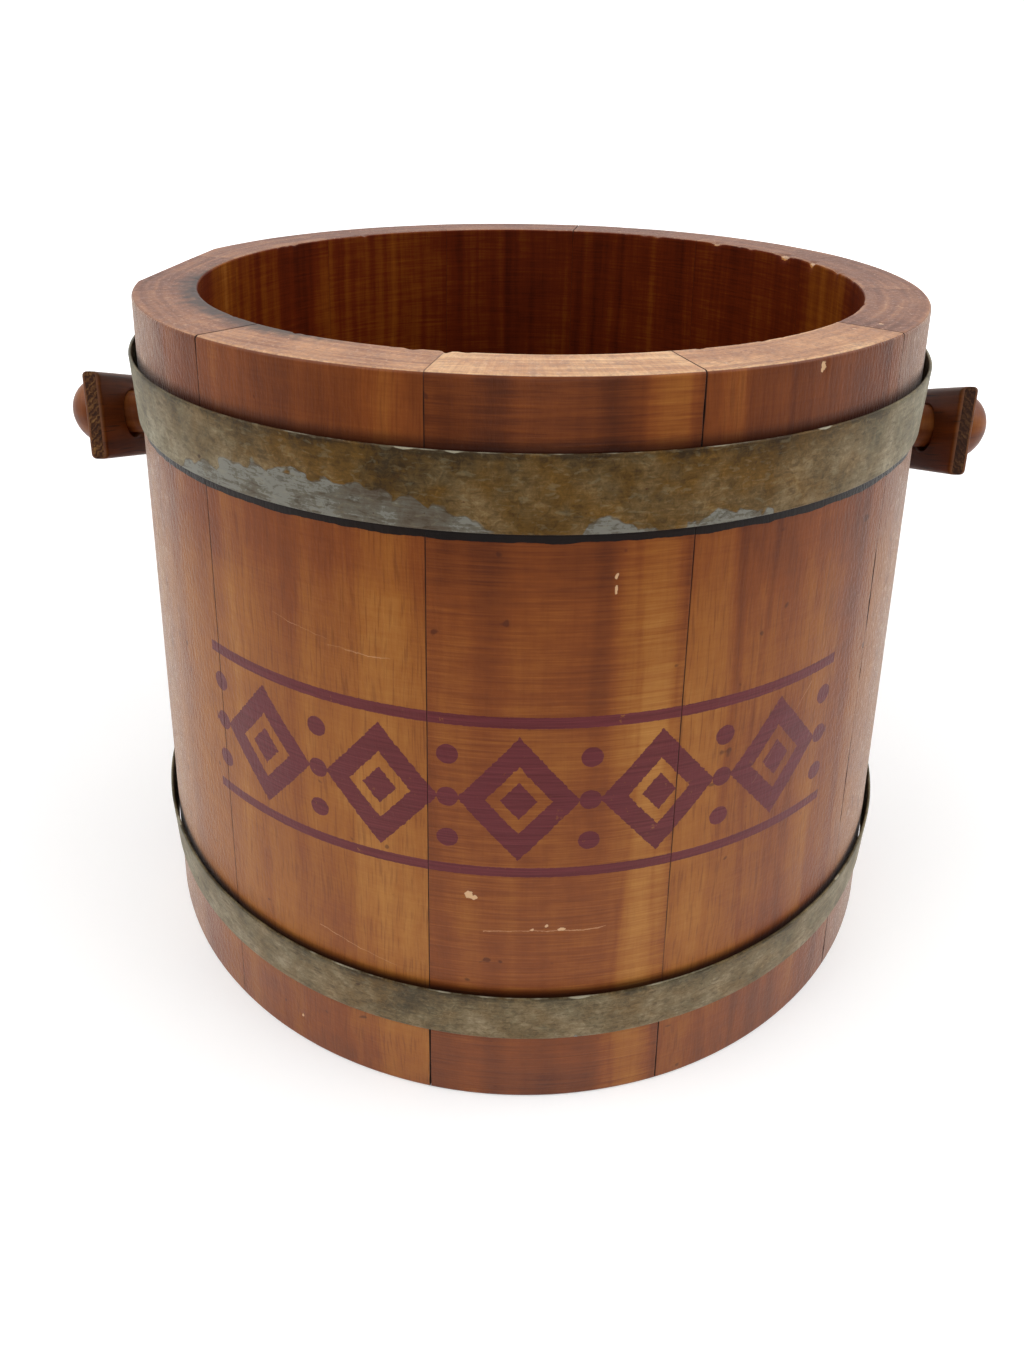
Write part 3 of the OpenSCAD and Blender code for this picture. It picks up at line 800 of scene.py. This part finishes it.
    def face(share, deep, z, cut, slot, flip=False, across=False):
        """One face of the stave, with its tone and its pattern's direction."""
        points, angle, height, depth, marks = place(share, deep, z, cut)
        degrees = np.degrees(angle)
        if slot == OUTSIDE:
            tone = tones(degrees, WALL_STREAKS, height,
                         STAVE_TONES[index] + np.interp(height / MM, *WALL_TONES))
            uv = (angle * MEAN_R, height)
        elif slot == RIM:
            # Both edges of the rim are painted paler: a painted highlight
            border = np.minimum(depth["out"], depth["in"])
            tone = RIM_TONES[index] + 0.22 * under(border, RIM_EDGE_HIGHLIGHT)
            uv = (depth["out"], angle * MEAN_R)
        elif slot == INSIDE:
            marks["tooled"] = 1.0
            tone = tones(degrees, INSIDE_STREAKS, height, INSIDE_TONES[index])
            uv = (angle * MEAN_R, height)
        else:
            tone = 0.45
            uv = (depth["out"], height) if across else (angle * MEAN_R, depth["out"])
        if slot == OUTSIDE and start + stop > TURN:
            uv = (uv[0] - TURN * MEAN_R, uv[1])
        return sheet(points, uv, slot, flip, tone=tone, **marks)

    column = shares[:, None]
    z_row, cut_row = rows[None, :], cuts[None, :]
    deep_column = (deeps[::-1] / WALL)[:, None]
    deep_row = deep_column.T
    sheets = [
        face(column, 0.0, z_row, cut_row, OUTSIDE),
        face(column, 1.0, z_row, cut_row, INSIDE, flip=True),
        face(column, deep_row, HEIGHT, 0.0, RIM, flip=True),
        face(column, deep_row, 0.0, 0.0, HIDDEN),
        face(0.0, deep_column, z_row, cut_row, HIDDEN, across=True),
        face(1.0, deep_column, z_row, cut_row, HIDDEN, flip=True, across=True),
    ]
    node = f"stave_{index + 1:02d}"
    make_piece(f"{node}_turned", sheets, materials, "bucket", [node])


# Bottom boards

def bottom_board(node, x_from, x_to, seed, material):
    """A slice of a round board between two straight joints: each row across x runs from edge to edge of the
    circle."""
    xs = x_from + steps(x_to - x_from, 1.5 * MM, np.array([0, 0.15, 0.3, 0.7, 1.4]) * MM)
    tip = np.sin(np.linspace(0, math.pi / 2, 60)) * BOTTOM_R
    if x_from <= -BOTTOM_R:
        tips = -tip[-tip < -MIDDLE_BOARD_W / 2 - 2 * MM]
        xs = np.unique(np.concatenate([tips, xs[xs > -BOTTOM_R * 0.9]]))
    if x_to >= BOTTOM_R:
        tips = tip[tip > MIDDLE_BOARD_W / 2 + 2 * MM]
        xs = np.unique(np.concatenate([tips, xs[xs < BOTTOM_R * 0.9]]))
    shares = np.linspace(-1, 1, 90)
    levels = steps(BOTTOM_TOP - CHIME, 2 * MM, np.array([0, 0.15, 0.3, 1]) * MM)

    def place(x, share, level):
        """Points of the board, their tone, and how far they lie from its joints."""
        x, share, level = np.broadcast_arrays(x, share, level)
        y = share * np.sqrt(np.clip(BOTTOM_R ** 2 - x ** 2, 0, None))
        joint = np.full(x.shape, 1.0)
        if x_from > -BOTTOM_R:
            joint = np.minimum(joint, x - x_from)
        if x_to < BOTTOM_R:
            joint = np.minimum(joint, x_to - x)
        top = BOTTOM_TOP - CHIME - level
        side_top, down = eased(joint, top, BOARD_EASE)
        side_low, up = eased(joint, level, BOARD_EASE)
        away = np.where(joint == x - x_from, 1.0, -1.0)
        points = np.stack([x + (side_top + side_low) * away, y, CHIME + level - down + up], -1)
        flat = under(top, MM)
        points[..., 2] -= flat * (0.08 + 0.08 * ripple(points, 40 * MM, seed)) * MM
        tone = 0.45 + 0.05 * seed + 0.12 * ripple(points * [1, 0.2, 0], 14 * MM, seed + 3)
        return points, tone, joint / MM

    def face(x, share, level, flip=False, turned=False):
        """One face of the board. The pattern of a turned one runs up its edge."""
        points, tone, seam = place(x, share, level)
        uv = (points[..., 0], points[..., 2]) if turned else (points[..., 0] + seed, points[..., 1])
        return sheet(points, uv, flip=flip, tone=tone, seam=seam, lot=seed * 0.61)

    x_column, share_row = xs[:, None], shares[None, :]
    share_column, level_row = shares[:, None], levels[None, :]
    thick = BOTTOM_TOP - CHIME
    sheets = [
        face(x_column, share_row, thick),
        face(x_column, share_row, 0.0, flip=True),
        face(x_column, -1.0, level_row, turned=True),
        face(x_column, 1.0, level_row, flip=True, turned=True),
        face(xs[0], share_column, level_row, flip=True, turned=True),
        face(xs[-1], share_column, level_row, turned=True),
    ]
    make_piece(f"{node}_planed", sheets, [material], "bucket", [node])


# Hoops

# The torn edge of the lacquer, round each hoop: azimuth, and millimetres above the strip's lower edge
UPPER_PEEL = [(-180, -5), (-150, 3), (-140, 6), (-128, 4), (-118, -5), (-95, -5), (-84, 1), (-76, -4),
              (-49, -3), (-44, 2.0), (-40, 4.5), (-37.5, 3.0), (-36.5, 6.5), (-31, 7.5), (-25, 8.0),
              (-18, 7.2), (-12, 6.0), (-7, 4.0), (-4, 0.5), (0, -3), (5, -3), (6.5, 2.5), (9, 3.2),
              (11.5, 1.0), (14, -1.5), (17, 0.4), (20, 2.0), (24, 3.4), (27.5, 1.5), (29, -3), (34, -5),
              (70, -5), (80, 2), (92, 5), (104, 7), (112, 3), (120, -5), (146, -4), (150, 4), (160, 5),
              (166, -5), (180, -5)]
LOWER_PEEL = [(-180, -5), (-128, -5), (-122, 4), (-112, 8), (-104, 3), (-100, -5), (6, -5), (7.6, 0.5),
              (9, -5), (27, -5), (30, -0.5), (33, -5), (110, -5), (116, 5), (126, 7), (132, -5), (180, -5)]
# Bare nicks of the strips' upper edges: azimuth and half width in degrees
UPPER_NICKS = [(-12.4, 0.7), (-7.2, 0.5), (34.0, 0.9), (80.0, 1.0), (150.0, 1.4), (-100.0, 1.2)]
LOWER_NICKS = [(50.3, 0.6), (7.8, 0.8), (-60.0, 1.0), (130.0, 1.6), (200.0, 1.0)]
# Rust spots: azimuth, and middle and half sizes in millimetres above the lower edge, across and up
UPPER_SPOTS = [(37.0, 1.6, 0.25, 1.6), (-41.0, 5.0, 0.7, 0.5), (95.0, 9.0, 0.8, 0.8),
               (170.0, 5.0, 1.2, 0.7), (-66.0, 1.0, 1.5, 0.6)]
LOWER_SPOTS = [(-19.7, 11.0, 0.7, 0.6), (-52.0, 6.0, 0.6, 0.8), (66.0, 3.0, 0.8, 0.6),
               (190.0, 8.0, 1.4, 0.9)]


def hoop(node, peels, nicks, spots, grey_and_glare, seed, material):
    """A flat strip with rounded edges, carried round from under the lap to over it. Its middle line is a
    circle that steps out by its thickness on a short ramp before the lap."""
    low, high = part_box(node)
    inner = high.x - HOOP_T
    width = high.z - low.z
    half = width / 2
    centre_r = inner + HOOP_T / 2
    lap_half = LAP / 2 / centre_r
    begin = math.pi - lap_half
    over_from = begin + TURN
    end = over_from + 2 * lap_half
    path = np.unique(np.concatenate([
        np.linspace(begin, end, 720),
        over_from - np.linspace(0, LAP_RAMP, 12) / centre_r,
        end - np.linspace(0, LAP_CORNER, 9) / centre_r,
        begin + np.linspace(0, LAP_CORNER, 9) / centre_r,
    ]))
    round_part = np.sin(np.linspace(0, math.pi / 2, 6)) * HOOP_T / 2
    flat_half = half - HOOP_T / 2
    cross = np.concatenate([-flat_half - round_part[::-1], np.linspace(-flat_half, flat_half, 21)[1:-1],
                            flat_half + round_part])
    swell = np.clip(np.abs(cross) - flat_half, 0, HOOP_T / 2)
    thick = np.sqrt(np.clip((HOOP_T / 2) ** 2 - swell ** 2, 0, None))

    def place(angle, across, deep):
        """Points of the strip, and how far up its width they lie, from 0 to 1."""
        angle, across, deep = np.broadcast_arrays(angle, across, deep)
        run = (angle - begin) * centre_r
        length = (end - begin) * centre_r
        to_end = np.minimum(run, length - run)
        cut = np.clip(LAP_CORNER - to_end, 0, None) * 0.8
        across = across * (1 - cut / half)
        step = smooth(angle, over_from - LAP_RAMP / centre_r, over_from) * (HOOP_T + LAP_AIR)
        ring = polar(angle, centre_r, 0)
        up = (across + half) / width
        loose = (0.05 + 0.05 * ripple(ring, 90 * MM, seed)) * up * MM - HOOP_LEAN * up
        spots_of = ring + np.stack([across * 0, across * 0, across], -1)
        dents = 0.06 * MM * np.clip(ripple(spots_of, 16 * MM, seed + 1), -1, 0)
        lift = 0.18 * MM * ripple(ring, 130 * MM, seed + 2)
        return polar(angle, centre_r + step + loose + dents + deep, low.z + half + across + lift), up

    def face(angle, across, deep, flip=False):
        """One face of the strip, with the marks of its lacquer, wear and rust, and of its painted
        reflection and highlight.
        """
        points, up = place(angle, across, deep)
        degrees = np.degrees(np.broadcast_to(angle, up.shape))
        around = off(degrees, 0)
        peel = np.interp(around, *zip(*peels)) - up * width / MM
        # Bright edges: worn bare metal, and in part a painted highlight
        top_wear_and_highlight = 0.95 - 0.3 * smooth(np.abs(around), 18, 45)
        edge = 0.9 * bump_at(up, 0, 0.03) + top_wear_and_highlight * bump_at(up, 1, 0.02)
        for azimuth, wide in nicks:
            away = off(degrees, azimuth)
            edge = edge + 0.9 * bump_at(away, 0, wide) * bump_at(up, 1, 0.06)
        # Grey lacquer, and a painted reflection that grows towards the sides
        greyed = grey_and_glare[0] + grey_and_glare[1] * smooth(np.abs(around), 20, 75)
        greyed = greyed + 0.15 * ripple(points, 30 * MM, seed + 5)
        tone = -0.05 * smooth(up, 0.3, 1.0) - 0.12 * bump_at(up, 1, 0.07) - 0.1 * bump_at(around, -12, 6)
        rust = np.zeros(up.shape)
        for azimuth, lift, half_w, half_h in spots:
            away = np.radians(off(degrees, azimuth)) * centre_r
            rust += bump_at(away, 0, half_w * MM) * bump_at(up * width, lift * MM, half_h * MM)
        run = (np.broadcast_to(angle, up.shape) - TURN) * centre_r
        return sheet(points, (run, up * width), flip=flip, peel=peel, edge=edge, greyed=greyed, tone=tone,
                     rust=rust)

    column, row = path[:, None], cross[None, :]
    cap = np.array([-1.0, 1.0])[:, None] * thick[None, :]
    sheets = [
        face(column, row, thick[None, :]),
        face(column, row, -thick[None, :], flip=True),
        face(path[0], row, cap),
        face(path[-1], row, cap, flip=True),
    ]
    make_piece(f"{node}_strip", sheets, [material], "bucket", [node], sharp=50)
    return inner - HOOP_LEAN / 2, (low.z + high.z) / 2


def turned_round(profile, origin, axis, sides, wobble, seed, **marks):
    """A profile of (distance along the axis, radius) turned round an axis from an origin, with a slight
    wobble of its radius. The seam is closed."""
    angle = np.linspace(0, TURN, sides + 1)
    angle[-1] = 0
    axis = np.array(axis, float)
    aside = np.cross(axis, [0, 0, 1.0])
    aside /= np.linalg.norm(aside)
    upward = np.cross(aside, axis)
    along, radius = np.array(profile).T
    around = np.cos(angle)[:, None] * aside + np.sin(angle)[:, None] * upward
    points = np.array(origin) + along[None, :, None] * axis + radius[None, :, None] * around[:, None, :]
    uneven = ripple(points, 3 * MM, seed) * wobble * (radius > 0)
    points = points + uneven[..., None] * around[:, None, :]
    run = np.concatenate([[0], np.cumsum(np.hypot(np.diff(along), np.diff(radius)))])
    turn = np.linspace(0, TURN, sides + 1)[:, None] * radius.max()
    return sheet(points, (turn, run[None, :]), flip=True, **marks)


def rivets(node, inner, z, material):
    """Two rivets through the lap. Each profile runs up the shank, out under the head and over its dome."""
    foot, seat, rim = 0.2 * MM, 2 * HOOP_T + 0.02 * MM, 2 * HOOP_T + 0.1 * MM
    turns = np.linspace(0, math.pi / 2, 9)[:-1]
    profile = [(foot, 0), (foot, RIVET_R), (seat, RIVET_R), (seat, RIVET_HEAD_R)]
    profile += [(rim + RIVET_HEAD_H * math.sin(t), RIVET_HEAD_R * math.cos(t)) for t in turns]
    profile += [(rim + RIVET_HEAD_H, 0)]
    sheets = []
    for side in (-1, 1):
        angle = math.pi + side * RIVET_PITCH / 2 / inner
        lean = math.atan(HOOP_LEAN / (UPPER_HOOP_Z[1] - UPPER_HOOP_Z[0]))
        out = polar(angle, math.cos(lean), math.sin(lean))
        sheets.append(turned_round(profile, polar(angle, inner, z), out, 40, 0.06 * MM, 31 + side))
    make_piece(f"{node}_hammered", sheets, [material], "bucket", [node])


# Pegs

def peg(node, side, material):
    """A turned peg. The profile runs out along the shank, over the flat back of the head and round its
    dome."""
    length = PEG_X[1] - PEG_X[0]
    head = PEG_HEAD_SIDE + PEG_HEAD_DOME
    ball = (PEG_HEAD_R ** 2 + PEG_HEAD_DOME ** 2) / (2 * PEG_HEAD_DOME)
    back = length - head
    shank = np.linspace(0, back - PEG_NECK, 40)
    grooves = PEG_GROOVE * np.sin(shank * TURN / PEG_GROOVE_PITCH) ** 2
    profile = [(0, 0)] + [(x, PEG_R - g) for x, g in zip(shank, grooves)]
    # The head's back with its rounded edge, its side and its dome, where the profile never turns back
    profile += [(back, PEG_R), (back, PEG_HEAD_R - 0.9 * MM), (back + 0.25 * MM, PEG_HEAD_R - 0.35 * MM)]
    for h in np.linspace(0.8 * MM, PEG_HEAD_SIDE, 5):
        profile.append((back + h, PEG_HEAD_R - 0.02 * MM))
    for t in np.linspace(math.asin(min(1, PEG_HEAD_R / ball)), 0, 26):
        ring = PEG_RING * (1 + math.cos(t * 60)) / 2
        profile.append((back + head - ball + (ball - ring) * math.cos(t), (ball - ring) * math.sin(t)))
    profile = [p for k, p in enumerate(profile) if k == 0 or p[0] >= profile[k - 1][0] - 1e-9]
    profile[-1] = (profile[-1][0], 0)
    origin = (side * PEG_X[0], 0, PEG_Z)
    body = turned_round(profile, origin, (side, 0, 0), 96, 0.04 * MM, 41 + side, tone=0.5,
                        lot=0.2 + side * 0.1, tooled=1.0)
    make_piece(f"{node}_turned", [body], [material], "bucket", [node], sharp=50)


# Bail

def rest_tilt():
    """How far the bail folds below level before its bow meets the wall behind it."""
    half = BAIL_W / 2 + HOLE_OFF_CENTRE
    reach = BOW_SET_BACK + BAIL_OUTER_R - BAIL_T
    level = reach - FLARE * half
    fall = half + FLARE * reach
    rest = wall_r(PEG_Z) + REST_GAP
    return math.acos(rest / math.hypot(level, fall)) - math.atan2(fall, level)


def bail(side_materials):
    """A strip carried along a U: up one arm, round the bow and down the other arm. On each arm the grid
    leaves out a square, and a closed grid from that square to the hole's circle, and through the hole,
    fills it."""
    half = BAIL_W / 2
    arm = BAIL_END + BOW_SET_BACK
    length = 2 * arm + math.pi * BAIL_MID_R
    flat = half - BAIL_EDGE
    count = 16
    turn = np.array(Matrix.Rotation(-rest_tilt(), 3, "X"))

    def place(run, across, out):
        """Points at a run along the strip, a place across it and a distance outward of its middle."""
        run, across, out = np.broadcast_arrays(run, across, out)
        bend = np.clip(run - arm, 0, math.pi * BAIL_MID_R) / BAIL_MID_R
        before = np.minimum(run - arm, 0)
        after = np.maximum(run - arm - math.pi * BAIL_MID_R, 0)
        x = -(BAIL_MID_R + out) * np.cos(bend)
        y = BOW_SET_BACK + (BAIL_MID_R + out) * np.sin(bend) + before - after
        points = np.stack([x, y, across - HOLE_OFF_CENTRE], -1)
        sink = 0.12 * MM * (1 + ripple(points, 45 * MM, 61)) / 2
        points[..., 0] += np.sign(out) * sink * np.cos(bend)
        points[..., 1] -= np.sign(out) * sink * np.sin(bend)
        return points @ turn.T + [0, 0, PEG_Z]

    def face(run, across, out, flip, slot=0):
        """One face of the strip, with its tone and the wear of its edges. Slot 1 is the sawn ends."""
        points = place(run, across, out)
        run, across, out = np.broadcast_arrays(run, across, out)
        edge = bump_at(np.abs(across), half, EDGE_RUB) + bump_at(np.minimum(run, length - run), 0, EDGE_RUB)
        tone = 0.36 + 0.08 * ripple(points, 60 * MM, 62)
        uv = (out, across) if slot else (across, run)
        return sheet(points, uv, slot, flip, tone=tone, edge=edge, lot=3.3)

    hole_runs = (BAIL_END, length - BAIL_END)
    near_end = np.array([0, 0.2, 0.5, 0.9]) * MM
    flats = np.linspace(-flat, flat, count + 1)
    fine = [hole_run + flats for hole_run in hole_runs]
    first = np.concatenate([near_end, np.linspace(1.8 * MM, hole_runs[0] - flat - 1 * MM, 5)])
    middle = np.linspace(fine[0][-1] + 1.2 * MM, fine[1][0] - 1.2 * MM, 260)
    last = (length - first)[::-1]
    corner = BAIL_EDGE * np.sin(np.linspace(0, math.pi / 2, 6))[1:]
    cross = np.concatenate([-flat - corner[::-1], flats, flat + corner])
    swell = np.clip(np.abs(cross) - flat, 0, BAIL_EDGE)
    thick = BAIL_T / 2 - BAIL_EDGE + np.sqrt(np.clip(BAIL_EDGE ** 2 - swell ** 2, 0, None))

    def thinned(run):
        """The strip's ends are eased: the faces draw in over the last stretch."""
        drawn = under(np.minimum(run, length - run), BAIL_END_EASE)
        return BAIL_END_EASE * (1 - np.sqrt(np.clip(1 - drawn ** 2, 0, 1)))

    blocks = [np.concatenate([first, fine[0][:1]]), np.concatenate([fine[0][-1:], middle, fine[1][:1]]),
              np.concatenate([fine[1][-1:], last])]
    sheets = []
    for sign in (1, -1):
        for block in blocks:
            column = block[:, None]
            out = sign * (thick[None, :] - thinned(column))
            sheets.append(face(column, cross[None, :], out, flip=sign > 0))
        for block in fine:
            for part in (slice(0, len(corner) + 1), slice(len(cross) - len(corner) - 1, None)):
                out = sign * thick[None, part]
                sheets.append(face(block[:, None], cross[None, part], out, flip=sign > 0))
    side_out = np.array([-1.0, -0.5, 0.0, 0.5, 1.0])
    column = np.concatenate([first, fine[0], middle, fine[1], last])[:, None]
    for sign in (1, -1):
        out = side_out[None, :] * (BAIL_T / 2 - BAIL_EDGE - thinned(column))
        sheets.append(face(column, sign * half, out, flip=sign < 0))
    # The hole, its top resting on the peg
    hole_at = HOLE_OFF_CENTRE + PEG_R + HOLE_PLAY - BAIL_HOLE_R
    go, back, far = flats[:-1], flats[:0:-1], np.full(count, flat)
    sides = ((go, -far), (far, go), (back, far), (-far, back))
    square = np.concatenate([np.stack(side, -1) for side in sides])
    square = np.concatenate([square, square[:1]])
    way = np.arctan2(square[:, 1], square[:, 0])
    circle = np.stack([np.cos(way), np.sin(way)], -1)
    lean = np.linspace(0, math.pi / 2, 5)
    through = [(BAIL_HOLE_R + HOLE_LIP * (1 - math.sin(t)),
                BAIL_T / 2 - HOLE_LIP * (1 - math.cos(t))) for t in lean]
    for centre_run in hole_runs:
        rows, outs = [], []
        for share in np.linspace(0, 1, 8)[:-1]:
            rows.append(square * (1 - share) + (circle * (BAIL_HOLE_R + HOLE_LIP) + [0, hole_at]) * share)
            outs.append(BAIL_T / 2)
        for radius, out in through:
            rows.append(circle * radius + [0, hole_at])
            outs.append(out)
        rows += rows[::-1]
        outs += [-out for out in outs[::-1]]
        grid = np.stack(rows, 1)
        out = np.broadcast_to(np.array(outs)[None, :], grid.shape[:2])
        sheets.append(face(centre_run + grid[..., 0], grid[..., 1], out, flip=True))
    ends_out = side_out[:, None]
    for run, flip in ((0.0, True), (length, False)):
        sheets.append(face(run, cross[None, :], ends_out * (thick[None, :] - BAIL_END_EASE), flip, 1))
    make_piece("handle_bent", sheets, side_materials, "bail", ["handle"], sharp=40)


# Stage

CAMERA_PLACE = Vector((0, -266.13 * MM, 236.41 * MM))
CAMERA_YAW = -0.013
CAMERA_PITCH = 0.6016
CAMERA_ROLL = -0.0139
PICTURE_W = 1024
FOCAL_PIXELS = 870
SENSOR = 36.0
NEAR_CLIP = 10 * MM
WHITE = (1, 1, 1, 1)
# The sweep, in metres: front and back ends of its floor, radius of its bend, top of its wall and half width
SWEEP_FRONT = -0.5
SWEEP_BACK = 1.5
SWEEP_R = 1.0
SWEEP_TOP = 3.0
SWEEP_HALF = 4
# Soft boxes: name, place, size and watts. They aim at the middle of the bucket.
SOFT_BOXES = [("left box", (-0.9, -0.3, 1.1), 0.9, 7.0), ("right box", (0.95, -0.1, 1.0), 0.9, 6.5),
              ("top box", (0.0, 0.35, 1.3), 0.8, 3.2), ("front box", (0.1, -1.3, 0.7), 0.9, 5.5)]
LIGHT_AIM = Vector((0, 0, 0.1))


def make_camera():
    """The photograph's view: a close camera above the front, looking down, with a slight roll."""
    data = bpy.data.cameras.new("camera")
    data.sensor_fit = "HORIZONTAL"
    data.sensor_width = SENSOR
    data.lens = SENSOR * FOCAL_PIXELS / PICTURE_W
    data.clip_start = NEAR_CLIP
    camera = shown("camera", data)
    camera.matrix_world = (
        Matrix.Translation(CAMERA_PLACE)
        @ Matrix.Rotation(-CAMERA_YAW, 4, "Z")
        @ Matrix.Rotation(math.pi / 2 - CAMERA_PITCH, 4, "X")
        @ Matrix.Rotation(-CAMERA_ROLL, 4, "Z")
    )
    bpy.context.scene.camera = camera


def make_stage():
    """A pale sweep: the floor runs back and curves up into a wall. It is white to the camera except where
    the bucket shades it, and in reflections it is white behind the bucket."""
    made, tree, shader, _ = finish_of("pale paper sweep", Base_Color=hexed("#f2f2f2"), Roughness=1.0,
                                      Specular_IOR_Level=0.0, Emission_Color=WHITE)
    rays = put(tree, "LightPath").outputs
    spot = put(tree, "TexCoord").outputs["Object"]
    far = put(tree, "MapRange", put(tree, "VectorMath", spot, operation="LENGTH").outputs["Value"], 0.3,
              1.3, 0.2, 0.9)
    behind = put(tree, "MapRange", put(tree, "SeparateXYZ", spot).outputs[1], 0.2, 1.4, 0.2, 0.9)
    seen = put(tree, "MULTIPLY", rays["Is Camera Ray"], far)
    mirrored = put(tree, "MAXIMUM", rays["Is Glossy Ray"], rays["Is Transmission Ray"])
    mirrored = put(tree, "MULTIPLY", mirrored, behind)
    glow = put(tree, "MAXIMUM", seen, mirrored)
    feed(tree, shader, Emission_Strength=glow)
    bend = np.linspace(0.1, math.pi / 2, 16)
    run = np.concatenate([np.linspace(SWEEP_FRONT, SWEEP_BACK, 4), SWEEP_BACK + SWEEP_R * np.sin(bend),
                          [SWEEP_BACK + SWEEP_R]])
    rise = np.concatenate([np.zeros(4), SWEEP_R * (1 - np.cos(bend)), [SWEEP_TOP]])
    aside = np.linspace(-SWEEP_HALF, SWEEP_HALF, 5)[:, None]
    points = np.stack(np.broadcast_arrays(aside, run[None, :], rise[None, :]), -1)
    mesh = bpy.data.meshes.new("sweep")
    mesh.from_pydata(points.reshape(-1, 3).tolist(), [], quads_of(*points.shape[:2]).tolist())
    mesh.materials.append(made)
    mesh.shade_smooth()
    sweep = shown("sweep", mesh)


def make_lights():
    """Soft boxes on the left and right, weaker ones above and in front, and a pale room, dimmer at the
    front."""
    world = bpy.data.worlds.new("room")
    bpy.context.scene.world = world
    world.use_nodes = True
    tree = world.node_tree
    tree.nodes.clear()
    seen = put(tree, "LightPath").outputs["Is Camera Ray"]
    back_way = put(tree, "SeparateXYZ", put(tree, "TexCoord").outputs["Generated"]).outputs[1]
    room = put(tree, "MapRange", back_way, -0.9, 0.1, 0.05, 0.7)
    strength = put(tree, "MAXIMUM", room, seen)
    put(tree, "OutputWorld", put(tree, "Background", WHITE, strength))
    for name, place, size, power in SOFT_BOXES:
        data = bpy.data.lights.new(name, "AREA")
        data.size = size
        data.energy = power
        lamp = shown(name, data)
        lamp.rotation_euler = (LIGHT_AIM - Vector(place)).to_track_quat("-Z", "Y").to_euler()
        lamp.location = place


def main():
    """Sets the stage and makes every piece."""
    bpy.context.scene.view_settings.view_transform = "Standard"
    make_camera()
    make_stage()
    make_lights()
    stave_finish = [turned_wall(), rim_wood(), inside_wood(), joint_wood()]
    angles = joint_angles()
    for index in range(STAVES):
        stave(index, angles[index], angles[index + 1], stave_finish)
    board = board_wood()
    bottom_board("bottom_board_left", -BOTTOM_R, -MIDDLE_BOARD_W / 2, 1, board)
    bottom_board("bottom_board_middle", -MIDDLE_BOARD_W / 2, MIDDLE_BOARD_W / 2, 2, board)
    bottom_board("bottom_board_right", MIDDLE_BOARD_W / 2, BOTTOM_R, 3, board)
    steel, rivet = hoop_steel(), rivet_steel()
    for node, *looks in (("upper_hoop", UPPER_PEEL, UPPER_NICKS, UPPER_SPOTS, (0.02, 1.0), 21),
                         ("lower_hoop", LOWER_PEEL, LOWER_NICKS, LOWER_SPOTS, (0.34, 0.55), 27)):
        inner, middle = hoop(node, *looks, steel)
        rivets(f"{node}_rivets", inner, middle, rivet)
    peg_finish = peg_wood()
    peg("left_peg", -1, peg_finish)
    peg("right_peg", 1, peg_finish)
    bail([bail_wood(), bail_ends()])


main()
